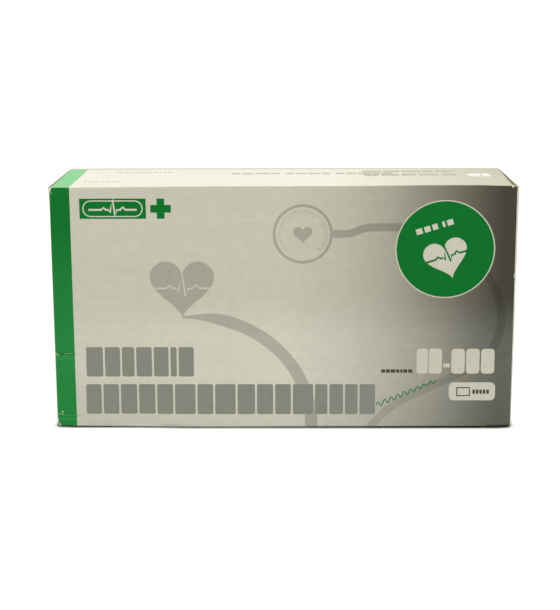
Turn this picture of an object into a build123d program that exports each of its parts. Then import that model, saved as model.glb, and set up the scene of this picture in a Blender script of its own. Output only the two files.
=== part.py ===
from build123d import *
import os
from math import acos, asin, cos, degrees, pi, radians, sin, sqrt, tan

# A boxed aneroid blood pressure set, in millimetres.
# X runs along the carton, with -X at the end where the gauge lies, -Y is the front, +Z is up.
# The origin is at the middle of the carton's footprint, on the surface that it stands on.

os.makedirs("parts", exist_ok=True)


def keep(part, name):
    """Label a finished piece and write it to its own file."""
    part.part.label = name
    export_step(part.part, f"parts/{name}.step")


# Carton board; the carton's own size follows from what is packed in it
board = 0.5
fold_radius = 0.8
flap_gap = 0.2
glue_flap = 14.0
end_panel_trim = 0.4
end_panel_corner = 1.5
tuck_length = 14.0
tuck_gap = 1.0
tuck_trim = 2.0
tuck_corner = 9.0
dust_length = 42.0
dust_front_gap = 0.6
dust_front_taper = 3.0
dust_back_gap = 1.5
dust_follow = 0.6
dust_corner = 5.0

# How closely the packed pieces lie to the carton and to each other
lay_gap = 0.3
fit_gap = 0.05
bulb_front_gap = 0.5
bulb_cuff_gap = 1.0
gauge_hose_gap = 1.0
port_lead = 28.7
first_bend = 16.2

# Folded instruction leaflet, standing behind the cuff
paper = 0.2
paper_gap = 0.1
leaflet_layers = 3
leaflet_width = 150.0
leaflet_height = 100.0

# Cuff, folded to and fro in flat layers
cuff_width = 140.0
cuff_thick = 3.4
cuff_layers = 5
pocket_edge = 7.0
pocket_thick = 1.8
bladder_thick = 1.6
bladder_margin = 3.0
port_outer = 1.4
port_bore = 0.7
port_reach = 8.0
gauge_port_z = 85.0
bulb_port_z = 22.0
pad_thick = 0.7
hook_length = 60.0
loop_length = 80.0
pad_margin = 12.0

# Hoses: two long runs lie on the bulb, one before and one behind its highest line
hose_radius = 4.0
hose_bore = 2.0
bend_share = 0.47
largest_bend = 22.0
port_straight = 8.0
bulb_lead = 34.7
high_run_shift = -3.7
front_run_shift = -9.7
back_run_shift = 7.3
front_run_lifts = (1.3, 3.7)
back_run_lifts = (0.9, 12.9)
sleeve_radius = 5.3
sleeve_length = 10.0
barb_length = 11.0
barb_core = 1.65
barb_bore = 1.0
barb_rings = 3

# Squeeze bulb, lying along the front
bulb_length = 84.0
bulb_end = 5.0
bulb_radius = 22.5
bulb_wall = 2.5
tail_radius = 6.0
tail_bore = 4.0
neck_radius = 8.0
neck_bore = 5.5
neck_blend = 4.0

# Inlet check valve in the bulb's tail
inlet_flange = 1.5
inlet_plug_length = 8.0
inlet_air_hole = 0.9
inlet_seat_depth = 1.5
inlet_chamber = 1.8
ball_radius = 1.5
ball_travel = 0.8
retainer_thick = 1.0

# Release valve between the bulb and its hose
valve_plug_length = 8.0
valve_collar_radius = 7.0
valve_collar_length = 2.0
valve_barrel_radius = 4.2
valve_barrel_length = 14.0
duckbill_radius = 3.2
duckbill_depth = 5.0
duckbill_wall = 1.0
duckbill_reach = 3.0
duckbill_mouth = 0.3
knob_station = 8.0
boss_radius = 3.2
boss_length = 8.5
needle_bore = 1.5
seat_bore = 0.5
seat_depth = 3.2
needle_tip_gap = 0.3
needle_cone = 2.0
needle_tip_radius = 0.2
knob_radius = 5.65
knob_length = 8.0
knob_gap = 0.7
knob_cap = 0.7
knob_grooves = 20
groove_radius = 0.35
vent_radius = 0.45

# Gauge: heights are measured from its back, and its dial faces the carton's -X end
gauge_radius = 26.0
bezel_wall = 0.8
case_radius = gauge_radius - bezel_wall
case_wall = 1.0
case_floor = 1.2
case_depth = 23.0
crystal_rise = 7.0
gauge_thick = case_depth + crystal_rise
gasket_thick = 0.3
crystal_thick = 1.5
bezel_lip = 3.5
bezel_lip_radius = gauge_radius - bezel_lip
bezel_skirt = 6.0
bezel_front = 2.7
dial_gap = 0.2
dial_radius = case_radius - case_wall - dial_gap
dial_thick = 0.5
dial_height = 20.0
plate_thick = 0.8
plate_inset = 2.5
plate_radius = dial_radius - plate_inset
base_plate_height = 12.8
top_plate_height = 17.8
top_plate_inset = 0.7
top_plate_radius = plate_radius - top_plate_inset
top_plate_cut = 4.5
pin_window_width = 2.4
pin_window_height = 2.0
block_window_height = 8.0
post_radius = 1.5
post_inset = 2.0
post_circle = plate_radius - post_inset
foot_radius = 1.0
pillar_radius = 1.0
screw_radius = 0.6
screw_head = 1.3
screw_head_thick = 0.6
screw_slot = 0.3
screw_depth = 2.2

# Gear train of the gauge
gear_module = 0.35
pinion_teeth = 12
sector_teeth = 96
sector_teeth_cut = 16
tooth_play = 0.13
tooth_addendum = 0.3
pressure_angle = 20.0
gear_thick = 1.0
gear_height = 15.0
arbor_radius = 0.5
sector_swing = 37.5
pivot_offset = 5.0
slot_reach = 2.2
slot_width = 1.4
slot_length = 1.2
sector_hub = 3.6
pointer_start = 210.0
pointer_length = 20.0
pointer_tail = 7.0
pointer_tail_width = 2.2
pointer_neck_width = 1.1
pointer_tip_width = 0.5
pointer_thick = 0.3
pointer_height = 21.6
hairspring_turns = 4
hairspring_pitch = 0.75
hairspring_wire = 0.2

# Pressure capsule and what it pushes
capsule_radius = 15.0
capsule_half = 2.0
capsule_wall = 0.3
capsule_wave = 0.35
capsule_wave_pitch = 3.6
capsule_rim = 1.2
pad_radius = 2.0
pad_disc = 0.6
pad_pin = 0.6
pad_travel = 1.6
rocker_height = 11.2
rocker_radius = 0.5
rocker_pin = 0.45
rocker_arm = 0.6
lug_thick = 1.2
lug_width = 2.6
inlet_block_width = 7.0
inlet_block_thick = 3.2
inlet_block_rise = 12.0
inlet_elbow = 4.0
inlet_channel = 1.0

# Boot, stem and coupling nut below the gauge
stem_height = 8.5
stem_radius = 2.5
boot_top_width = 35.0
boot_waist_width = 19.0
boot_end_width = 14.0
boot_length = 22.0
boot_low = 1.0
boot_high = 16.0
boot_corner = 2.0
nut_radius = 5.0
nut_length = 6.0
nut_grooves = 24

# The carton's size over its folded board, from the pieces that lie in it
leaflet_pitch = paper + paper_gap
leaflet_thick = (leaflet_layers - 1) * leaflet_pitch + paper
cuff_pitch = cuff_thick + lay_gap
cuff_stack = (cuff_layers - 1) * cuff_pitch + cuff_thick
bulb_room = bulb_front_gap + 2 * bulb_radius + bulb_cuff_gap
carton_depth = 3 * board + 2 * lay_gap + leaflet_thick + cuff_stack + bulb_room
gauge_room = 2 * lay_gap + 2 * gauge_radius + boot_length
fitting_room = 2 * lay_gap + nut_length + sleeve_length + first_bend + hose_radius
carton_height = 2 * board + gauge_room + fitting_room
hose_room = gauge_hose_gap + 2 * hose_radius + port_lead
carton_width = 2 * (board + flap_gap) + 3 * lay_gap + gauge_thick + hose_room + cuff_width

front_y = -carton_depth / 2
back_y = carton_depth / 2
end_x = carton_width / 2
flap_x = end_x - board - flap_gap
tuck_front_y = front_y + board + tuck_gap
tuck_back_y = tuck_front_y + board
inside_front_y = front_y + board
inside_back_y = back_y - board
inside_top_z = carton_height - board
print("carton", round(carton_width, 2), round(carton_depth, 2), round(carton_height, 2))

# Places that follow from the sizes above
leaflet_back_y = inside_back_y - board - lay_gap
leaflet_front_y = leaflet_back_y - leaflet_thick
cuff_back_y = leaflet_front_y - lay_gap
cuff_first_y = cuff_back_y - cuff_thick / 2
cuff_turn = cuff_pitch / 2 + cuff_thick / 2
cuff_low_z = board + lay_gap + cuff_turn
cuff_high_z = inside_top_z - lay_gap - cuff_turn
cuff_right_x = flap_x - lay_gap
cuff_left_x = cuff_right_x - cuff_width
cuff_front_y = cuff_back_y - cuff_stack
port_y = cuff_first_y - (cuff_layers - 2) * cuff_pitch
cuff_length = cuff_layers * (cuff_high_z - cuff_low_z) + (cuff_layers - 1) * pi * cuff_pitch / 2

hose_right_x = flap_x - lay_gap - hose_radius
bulb_z = board + lay_gap + bulb_radius
bulb_y = inside_front_y + bulb_front_gap + bulb_radius
valve_end_x = hose_right_x - bulb_lead - lay_gap
bulb_end_x = valve_end_x - valve_barrel_length
bulb_tail_x = bulb_end_x - bulb_length
bulb_body_length = bulb_length - 2 * bulb_end

gauge_y = 0.0
gauge_z = inside_top_z - lay_gap - gauge_radius
gauge_back_x = -(flap_x - lay_gap - gauge_thick)
stem_x = gauge_back_x - stem_height
boot_bottom = gauge_radius + boot_length
nut_bottom = boot_bottom + lay_gap + nut_length
hose_top_z = gauge_z - nut_bottom - lay_gap

centre_distance = gear_module * (pinion_teeth + sector_teeth) / 2
pivot_rise = sqrt(centre_distance**2 - pivot_offset**2)


# Paper and board

with BuildPart() as carton_sleeve:
    with BuildSketch(Plane.YZ.offset(-end_x)):
        with Locations((0, carton_height / 2)):
            RectangleRounded(carton_depth, carton_height, fold_radius)
            RectangleRounded(
                carton_depth - 2 * board,
                carton_height - 2 * board,
                fold_radius - board,
                mode=Mode.SUBTRACT,
            )
    extrude(amount=carton_width)
    with BuildSketch(Plane.YZ.offset(-end_x)):
        with Locations((inside_back_y, board)):
            Rectangle(board, glue_flap, align=(Align.MAX, Align.MIN))
    extrude(amount=carton_width)
    for way in (-1, 1):
        with Locations((way * end_x, 0, board), (way * end_x, 0, inside_top_z)):
            Box(
                2 * (end_x - flap_x),
                carton_depth - 2 * fold_radius,
                2 * board,
                mode=Mode.SUBTRACT,
            )
keep(carton_sleeve, "carton_sleeve")

for side, way in (("left", -1), ("right", 1)):
    with BuildPart() as end_panel:
        with BuildSketch(Plane.YZ.offset(way * end_x)) as outline:
            with Locations((tuck_front_y, end_panel_trim)):
                Rectangle(
                    back_y - tuck_front_y,
                    carton_height - 2 * end_panel_trim,
                    align=(Align.MIN, Align.MIN),
                )
            fillet(outline.vertices().group_by(Axis.X)[-1], end_panel_corner)
        extrude(amount=way * board)
    keep(end_panel, f"{side}_end_panel")

    with BuildPart() as tuck_flap:
        tuck_plane = Plane(origin=(0, tuck_back_y, 0), x_dir=(1, 0, 0), z_dir=(0, -1, 0))
        with BuildSketch(tuck_plane) as outline:
            with Locations((way * (end_x - tuck_length / 2), carton_height / 2)):
                Rectangle(tuck_length, carton_height - 2 * tuck_trim)
            inner = outline.vertices().sort_by(Axis.X, reverse=way < 0)[:2]
            fillet(inner, tuck_corner)
        extrude(amount=board)
    keep(tuck_flap, f"{side}_tuck_flap")

    for level, crease_z, inward in (("top", inside_top_z, -1), ("bottom", board, 1)):
        free_z = crease_z + inward * dust_length
        dust_front_y = tuck_back_y + dust_front_gap
        dust_back_y = back_y - dust_back_gap
        with BuildPart() as dust_flap:
            with BuildSketch(Plane.YZ.offset(way * flap_x)) as outline:
                with BuildLine():
                    Polyline(
                        (dust_front_y, crease_z),
                        (dust_back_y, crease_z),
                        (dust_back_y - dust_follow * dust_length, free_z),
                        (dust_front_y + dust_front_taper, free_z),
                        close=True,
                    )
                make_face()
                free_corners = [v for v in outline.vertices() if abs(v.Y - free_z) < board]
                fillet(free_corners, dust_corner)
            extrude(amount=way * board)
        keep(dust_flap, f"{side}_{level}_dust_flap")


def fold_layers(first_y, pitch, low_z, high_z, layers):
    """Draw straight layers joined by half turns, from the back layer to the front one."""
    for layer in range(layers):
        y = first_y - pitch * layer
        upward = layer % 2 == 0
        start, end = (low_z, high_z) if upward else (high_z, low_z)
        Line((y, start), (y, end))
        if layer < layers - 1:
            crown = end + (pitch / 2 if upward else -pitch / 2)
            ThreePointArc((y, end), (y - pitch / 2, crown), (y - pitch, end))


with BuildPart() as instruction_leaflet:
    with BuildSketch(Plane.YZ.offset(cuff_right_x - leaflet_width)):
        leaflet_low = board + lay_gap + leaflet_pitch / 2 + paper / 2
        leaflet_first_y = leaflet_back_y - paper / 2
        leaflet_high = leaflet_low + leaflet_height
        with BuildLine():
            fold_layers(leaflet_first_y, leaflet_pitch, leaflet_low, leaflet_high, leaflet_layers)
        trace(line_width=paper)
    extrude(amount=leaflet_width)
keep(instruction_leaflet, "instruction_leaflet")


# Cuff

with BuildPart() as cuff_cover:
    with BuildSketch(Plane.YZ.offset(cuff_left_x)):
        with BuildLine():
            fold_layers(cuff_first_y, cuff_pitch, cuff_low_z, cuff_high_z, cuff_layers)
        trace(line_width=cuff_thick)
    extrude(amount=cuff_width)
    with BuildSketch(Plane.YZ.offset(cuff_left_x + pocket_edge)):
        with BuildLine():
            fold_layers(
                port_y + cuff_pitch, cuff_pitch, cuff_low_z, cuff_high_z, 2
            )
        trace(line_width=pocket_thick)
    extrude(amount=cuff_width - 2 * pocket_edge, mode=Mode.SUBTRACT)
    with BuildSketch(Plane.YZ.offset(cuff_left_x)):
        with Locations((port_y, gauge_port_z), (port_y, bulb_port_z)):
            Circle(port_outer + fit_gap)
    extrude(amount=pocket_edge + bladder_margin + fit_gap, mode=Mode.SUBTRACT)
    with Locations((cuff_left_x + cuff_width / 2, cuff_front_y, cuff_high_z - pad_margin)):
        Box(
            cuff_width - 2 * pad_margin,
            2 * pad_thick,
            hook_length,
            align=(Align.CENTER, Align.CENTER, Align.MAX),
            mode=Mode.SUBTRACT,
        )
    with Locations((cuff_left_x + cuff_width / 2, cuff_back_y, cuff_low_z + pad_margin)):
        Box(
            cuff_width - 2 * pad_margin,
            2 * pad_thick,
            loop_length,
            align=(Align.CENTER, Align.CENTER, Align.MIN),
            mode=Mode.SUBTRACT,
        )
keep(cuff_cover, "cuff_cover")

with BuildPart() as hook_pad:
    with Locations((cuff_left_x + cuff_width / 2, cuff_front_y, cuff_high_z - pad_margin - fit_gap)):
        Box(
            cuff_width - 2 * (pad_margin + fit_gap),
            pad_thick,
            hook_length - 2 * fit_gap,
            align=(Align.CENTER, Align.MIN, Align.MAX),
        )
keep(hook_pad, "hook_pad")

with BuildPart() as loop_pad:
    with Locations((cuff_left_x + cuff_width / 2, cuff_back_y, cuff_low_z + pad_margin + fit_gap)):
        Box(
            cuff_width - 2 * (pad_margin + fit_gap),
            pad_thick,
            loop_length - 2 * fit_gap,
            align=(Align.CENTER, Align.MAX, Align.MIN),
        )
keep(loop_pad, "loop_pad")

with BuildPart() as bladder:
    with BuildSketch(Plane.YZ.offset(cuff_left_x + pocket_edge + fit_gap)):
        with BuildLine():
            fold_layers(
                port_y + cuff_pitch,
                cuff_pitch,
                cuff_low_z + bladder_margin,
                cuff_high_z,
                2,
            )
        trace(line_width=bladder_thick)
    extrude(amount=cuff_width - 2 * (pocket_edge + fit_gap))
    for port_z in (gauge_port_z, bulb_port_z):
        with BuildSketch(Plane.YZ.offset(cuff_left_x)):
            with Locations((port_y, port_z)):
                Circle(port_outer)
        extrude(amount=pocket_edge + bladder_margin)
        with BuildSketch(Plane.YZ.offset(cuff_left_x - port_reach)):
            with Locations((port_y, port_z)):
                Circle(hose_bore - fit_gap)
        extrude(amount=port_reach)
        with BuildSketch(Plane.YZ.offset(cuff_left_x - port_reach)):
            with Locations((port_y, port_z)):
                Circle(port_bore)
        extrude(amount=port_reach + pocket_edge, mode=Mode.SUBTRACT)
keep(bladder, "bladder")


# Squeeze bulb and its two valves

bulb_plane = Plane(origin=(bulb_tail_x, bulb_y, bulb_z), x_dir=(1, 0, 0), z_dir=(0, -1, 0))
bulb_axis = Axis((bulb_tail_x, bulb_y, bulb_z), (1, 0, 0))

with BuildPart() as squeeze_bulb:
    with BuildSketch(bulb_plane) as section:
        with Locations((bulb_length / 2, 0)):
            Ellipse(bulb_body_length / 2, bulb_radius)
        Rectangle(bulb_length / 2, 2 * tail_radius, align=(Align.MIN, Align.CENTER))
        with Locations((bulb_length, 0)):
            Rectangle(bulb_length / 2, 2 * neck_radius, align=(Align.MAX, Align.CENTER))
        junctions = [
            v
            for v in section.vertices()
            if 1 < v.X < bulb_length - 1 and abs(v.Y) < neck_radius + 1
        ]
        fillet(junctions, neck_blend)
        with Locations((bulb_length / 2, 0)):
            Ellipse(bulb_body_length / 2 - bulb_wall, bulb_radius - bulb_wall, mode=Mode.SUBTRACT)
        Rectangle(
            bulb_length / 2, 2 * tail_bore, align=(Align.MIN, Align.CENTER), mode=Mode.SUBTRACT
        )
        with Locations((bulb_length, 0)):
            Rectangle(
                bulb_length / 2, 2 * neck_bore, align=(Align.MAX, Align.CENTER), mode=Mode.SUBTRACT
            )
        Rectangle(bulb_length, bulb_radius, align=(Align.MIN, Align.MIN), mode=Mode.INTERSECT)
    revolve(axis=bulb_axis)
keep(squeeze_bulb, "squeeze_bulb")

with BuildPart() as inlet_valve_body:
    with BuildSketch(bulb_plane):
        with BuildLine():
            Polyline(
                (-inlet_flange, inlet_air_hole),
                (-inlet_flange, tail_radius),
                (0, tail_radius),
                (0, tail_bore - fit_gap),
                (inlet_plug_length, tail_bore - fit_gap),
                (inlet_plug_length, inlet_chamber),
                (inlet_seat_depth, inlet_chamber),
                (inlet_seat_depth, inlet_air_hole),
                close=True,
            )
        make_face()
    revolve(axis=bulb_axis)
keep(inlet_valve_body, "inlet_valve_body")

ball_rest = inlet_seat_depth + sqrt(ball_radius**2 - inlet_air_hole**2) + 2 * fit_gap
ball_x = bulb_tail_x + ball_rest
retainer_start = ball_rest + ball_radius + ball_travel + 4 * fit_gap

with BuildPart() as inlet_valve_ball:
    with Locations((ball_x, bulb_y, bulb_z)):
        Sphere(ball_radius)
keep(inlet_valve_ball, "inlet_valve_ball")

with BuildPart() as inlet_valve_retainer:
    with BuildSketch(bulb_plane):
        with Locations((retainer_start, inlet_air_hole)):
            Rectangle(
                retainer_thick,
                inlet_chamber - fit_gap - inlet_air_hole,
                align=(Align.MIN, Align.MIN),
            )
    revolve(axis=bulb_axis)
keep(inlet_valve_retainer, "inlet_valve_retainer")


def barb_outline(start, way):
    """Points of a hose barb's outer side: saw teeth that fit the hose's bore."""
    step = barb_length / (barb_rings + 1)
    points = [(start, barb_core)]
    for ring in range(barb_rings):
        rise = start + way * step * (ring + 0.6)
        points.append((rise, barb_core))
        points.append((rise, hose_bore - fit_gap))
        points.append((rise + way * step * 0.8, barb_core))
    points.append((start + way * barb_length, barb_core))
    points.append((start + way * barb_length, barb_bore))
    return points


valve_plane = Plane(origin=(bulb_end_x, bulb_y, bulb_z), x_dir=(1, 0, 0), z_dir=(0, -1, 0))
knob_x = bulb_end_x + knob_station
knob_plane = Plane(origin=(knob_x, bulb_y, bulb_z), x_dir=(1, 0, 0), z_dir=(0, -1, 0))
knob_axis = Axis((knob_x, bulb_y, bulb_z), (0, 0, -1))

with BuildPart() as release_valve_body:
    with BuildSketch(valve_plane):
        with BuildLine():
            Polyline(
                (-valve_plug_length, duckbill_radius),
                (-valve_plug_length, neck_bore - fit_gap),
                (0, neck_bore - fit_gap),
                (0, valve_collar_radius),
                (valve_collar_length, valve_collar_radius),
                (valve_collar_length, valve_barrel_radius),
                (valve_barrel_length, valve_barrel_radius),
                *barb_outline(valve_barrel_length, 1),
                (0, barb_bore),
                (duckbill_depth - valve_plug_length, barb_bore),
                (duckbill_depth - valve_plug_length, duckbill_radius),
                close=True,
            )
        make_face()
    revolve(axis=bulb_axis)
    with BuildSketch(Plane(origin=(knob_x, bulb_y, bulb_z), z_dir=(0, 0, -1))):
        Circle(boss_radius)
        Circle(barb_bore, mode=Mode.SUBTRACT)
    extrude(amount=boss_length)
    with BuildSketch(valve_plane):
        Rectangle(valve_barrel_length, barb_bore, align=(Align.MIN, Align.MIN))
    revolve(axis=bulb_axis, mode=Mode.SUBTRACT)
    with BuildSketch(knob_plane):
        with BuildLine():
            Polyline(
                (0, 0),
                (seat_bore, 0),
                (seat_bore, -seat_depth),
                (needle_bore, -seat_depth),
                (needle_bore, -boss_length),
                (0, -boss_length),
                close=True,
            )
        make_face()
    revolve(axis=knob_axis, mode=Mode.SUBTRACT)
    with BuildSketch(knob_plane):
        with Locations((0, -seat_depth - vent_radius)):
            Circle(vent_radius)
    extrude(amount=boss_radius, mode=Mode.SUBTRACT)
keep(release_valve_body, "release_valve_body")

with BuildPart() as outlet_duckbill:
    lip_x = duckbill_depth - valve_plug_length
    duckbill_root = barb_bore + duckbill_wall
    with BuildSketch(valve_plane):
        with BuildLine():
            Polyline(
                (lip_x - duckbill_wall, duckbill_radius - fit_gap),
                (lip_x, duckbill_radius - fit_gap),
                (lip_x, duckbill_root),
                (lip_x - duckbill_wall, duckbill_root),
                (lip_x - duckbill_reach, duckbill_mouth),
                (lip_x - duckbill_reach - 2 * duckbill_mouth, duckbill_mouth),
                (lip_x - 1.8 * duckbill_wall, duckbill_root),
                close=True,
            )
        make_face()
    revolve(axis=bulb_axis)
keep(outlet_duckbill, "outlet_duckbill")

needle_tip = seat_depth - needle_tip_gap
knob_top = boss_length + knob_gap
knob_end = knob_top + knob_length

with BuildPart() as release_needle:
    with BuildSketch(knob_plane):
        with BuildLine():
            Polyline(
                (0, -needle_tip),
                (needle_tip_radius, -needle_tip),
                (needle_bore - 2 * fit_gap, -needle_tip - needle_cone),
                (needle_bore - 2 * fit_gap, -(knob_end - knob_cap)),
                (0, -(knob_end - knob_cap)),
                close=True,
            )
        make_face()
    revolve(axis=knob_axis)
keep(release_needle, "release_needle")

with BuildPart() as release_knob:
    with BuildSketch(Plane(origin=(knob_x, bulb_y, bulb_z - knob_top), z_dir=(0, 0, -1))):
        Circle(knob_radius)
        with PolarLocations(knob_radius, knob_grooves):
            Circle(groove_radius, mode=Mode.SUBTRACT)
    extrude(amount=knob_length)
    chamfer(release_knob.faces().sort_by(Axis.Z)[0].outer_wire().edges(), 0.15)
    with BuildSketch(Plane(origin=(knob_x, bulb_y, bulb_z - knob_top), z_dir=(0, 0, -1))):
        Circle(needle_bore - fit_gap)
    extrude(amount=knob_length - knob_cap + fit_gap, mode=Mode.SUBTRACT)
keep(release_knob, "release_knob")


# Gauge shell

def gauge_level(height):
    """Plane parallel to the dial at a height above the gauge's back, with +Z up in it."""
    return Plane(
        origin=(gauge_back_x - height, gauge_y, gauge_z), x_dir=(0, -1, 0), z_dir=(-1, 0, 0)
    )


gauge_section = Plane(
    origin=(gauge_back_x, gauge_y, gauge_z), x_dir=(0, -1, 0), z_dir=(0, 0, -1)
)
gauge_axis = Axis((gauge_back_x, gauge_y, gauge_z), (-1, 0, 0))
stem_top = case_radius - case_wall - 1
stem_section = Plane(origin=(stem_x, gauge_y, gauge_z), x_dir=(0, 0, -1), z_dir=(0, 1, 0))
stem_axis = Axis((stem_x, gauge_y, gauge_z), (0, 0, -1))

with BuildPart() as gauge_case:
    with BuildSketch(gauge_section):
        with BuildLine():
            Polyline(
                (0, 0),
                (case_radius, 0),
                (case_radius, case_depth),
                (case_radius - case_wall, case_depth),
                (case_radius - case_wall, case_floor),
                (0, case_floor),
                close=True,
            )
        make_face()
    revolve(axis=gauge_axis)
    fillet(gauge_case.faces().sort_by(Axis.X)[-1].edges(), case_floor * 0.8)
    with BuildSketch(Plane(origin=(stem_x, gauge_y, gauge_z), z_dir=(0, 0, -1))):
        Circle(stem_radius + fit_gap)
    extrude(amount=gauge_radius, mode=Mode.SUBTRACT)
keep(gauge_case, "gauge_case")

crystal_edge = case_depth + gasket_thick
bezel_top = gauge_thick - bezel_front

with BuildPart() as crystal_gasket:
    with BuildSketch(gauge_section):
        with Locations((case_radius, case_depth)):
            Rectangle(1.4 * case_wall, gasket_thick, align=(Align.MAX, Align.MIN))
    revolve(axis=gauge_axis)
keep(crystal_gasket, "crystal_gasket")

dome_foot = crystal_edge + crystal_thick
dome_edge = bezel_lip_radius - 0.5
dome_rise = gauge_thick - dome_foot


def dome_arc(edge_radius, foot, rise):
    """Draw a dome's half section, an arc from the rim to the middle, centred on the axis."""
    sphere = (edge_radius**2 + rise**2) / (2 * rise)
    half = asin(edge_radius / sphere) / 2
    middle = (sphere * sin(half), foot + rise - sphere * (1 - cos(half)))
    ThreePointArc((edge_radius, foot), middle, (0, foot + rise))


with BuildPart() as gauge_crystal:
    with BuildSketch(gauge_section):
        with BuildLine():
            dome_arc(dome_edge, dome_foot, dome_rise)
            Polyline(
                (dome_edge, dome_foot),
                (case_radius, dome_foot),
                (case_radius, crystal_edge),
                (dome_edge - crystal_thick / 2, crystal_edge),
            )
            dome_arc(dome_edge - crystal_thick / 2, crystal_edge, dome_rise)
            Line((0, crystal_edge + dome_rise), (0, gauge_thick))
        make_face()
    revolve(axis=gauge_axis)
keep(gauge_crystal, "gauge_crystal")

with BuildPart() as gauge_bezel:
    with BuildSketch(gauge_section) as section:
        with BuildLine():
            Polyline(
                (case_radius + fit_gap, case_depth - bezel_skirt),
                (gauge_radius, case_depth - bezel_skirt),
                (gauge_radius, bezel_top),
                (bezel_lip_radius, bezel_top),
                (bezel_lip_radius, dome_foot + fit_gap),
                (case_radius + fit_gap, dome_foot + fit_gap),
                close=True,
            )
        make_face()
    revolve(axis=gauge_axis)
    rim = gauge_bezel.edges().filter_by(GeomType.CIRCLE).sort_by(Axis.X)[:2]
    fillet(rim, 0.9)
keep(gauge_bezel, "gauge_bezel")

# Pressure capsule, with a corrugated skin above and below

capsule_height = case_floor + inlet_block_thick
capsule_mid = capsule_height + capsule_half
rim_inset = 2 / 3 * capsule_rim


def capsule_skin(side, inset):
    """Points of one corrugated skin from the rim to the middle, side +1 above and -1 below."""
    points = []
    steps = 24
    for step in range(steps + 1):
        radius = (capsule_radius - capsule_rim) * (1 - step / steps)
        wave = capsule_wave * cos(2 * pi * radius / capsule_wave_pitch)
        level = capsule_half - capsule_wave - inset + wave
        points.append((radius, capsule_mid + side * level))
    return points


with BuildPart() as pressure_capsule:
    with BuildSketch(gauge_section):
        with BuildLine():
            Polyline(
                *reversed(capsule_skin(1, 0)),
                (capsule_radius - rim_inset, capsule_mid + capsule_wall),
                (capsule_radius, capsule_mid + capsule_wall),
                (capsule_radius, capsule_mid - capsule_wall),
                (capsule_radius - rim_inset, capsule_mid - capsule_wall),
                *capsule_skin(-1, 0),
                close=True,
            )
        make_face()
        with BuildLine():
            Polyline(
                *reversed(capsule_skin(1, capsule_wall)),
                *capsule_skin(-1, capsule_wall),
                close=True,
            )
        make_face(mode=Mode.SUBTRACT)
    revolve(axis=gauge_axis)
    with BuildSketch(gauge_level(capsule_height)):
        Circle(inlet_channel)
    extrude(amount=2 * capsule_wall + 2 * capsule_wave, mode=Mode.SUBTRACT)
keep(pressure_capsule, "pressure_capsule")

block_reach = case_radius - case_wall - lay_gap

channel_height = case_floor + inlet_block_thick / 2
elbow_v = -(capsule_radius + inlet_elbow)

with BuildPart() as inlet_block:
    with BuildSketch(gauge_level(case_floor)):
        Rectangle(inlet_block_width, block_reach, align=(Align.CENTER, Align.MAX))
        Circle(inlet_block_width / 2)
    extrude(amount=inlet_block_thick)
    with BuildSketch(gauge_level(case_floor)):
        with Locations((0, -block_reach)):
            Rectangle(
                inlet_block_width,
                block_reach - capsule_radius - 2 * lay_gap,
                align=(Align.CENTER, Align.MIN),
            )
    extrude(amount=inlet_block_rise - case_floor)
    with BuildSketch(Plane(origin=(stem_x, gauge_y, gauge_z + elbow_v), z_dir=(0, 0, -1))):
        Circle(inlet_channel)
    extrude(amount=block_reach + elbow_v, mode=Mode.SUBTRACT)
    with BuildSketch(gauge_level(channel_height)):
        with Locations((0, elbow_v)):
            Circle(inlet_channel)
    extrude(amount=stem_height - channel_height, mode=Mode.SUBTRACT)
    with BuildSketch(
        Plane(origin=(gauge_back_x - channel_height, gauge_y, gauge_z), z_dir=(0, 0, -1))
    ):
        Circle(inlet_channel)
    extrude(amount=-elbow_v, mode=Mode.SUBTRACT)
    with BuildSketch(gauge_level(channel_height)):
        Circle(inlet_channel)
    extrude(amount=inlet_block_thick, mode=Mode.SUBTRACT)
keep(inlet_block, "inlet_block")

pad_low = capsule_height + 2 * capsule_half + 2 * fit_gap
swing = radians(sector_swing)
rocker_swing = 2 * asin(pad_travel / 2 / pivot_offset)
arm_drop = pad_travel / 2
pad_top = rocker_height - arm_drop - rocker_arm / 2 - 2 * fit_gap

with BuildPart() as capsule_pad:
    with BuildSketch(gauge_level(pad_low)):
        Circle(pad_radius)
    extrude(amount=pad_disc)
    with BuildSketch(gauge_level(pad_low)):
        Circle(pad_pin)
    extrude(amount=pad_top - pad_low)
keep(capsule_pad, "capsule_pad")


# Movement: plates, posts, rocking shaft and gears

post_places = [
    (post_circle * cos(radians(angle)), post_circle * sin(radians(angle)))
    for angle in (30, 150, 235, 305)
]
pillar_places = [(-9.5, 2.5), (12.5, 0.5), (-8.5, 16.0), (14.0, 13.0)]
foot_places = [(-17.6, 3.1), (17.6, 3.1)]
lug_places = (-4.0, pivot_rise + 1.6)
slot_place = pivot_rise - slot_reach
top_face = top_plate_height + plate_thick
base_face = base_plate_height + plate_thick

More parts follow.
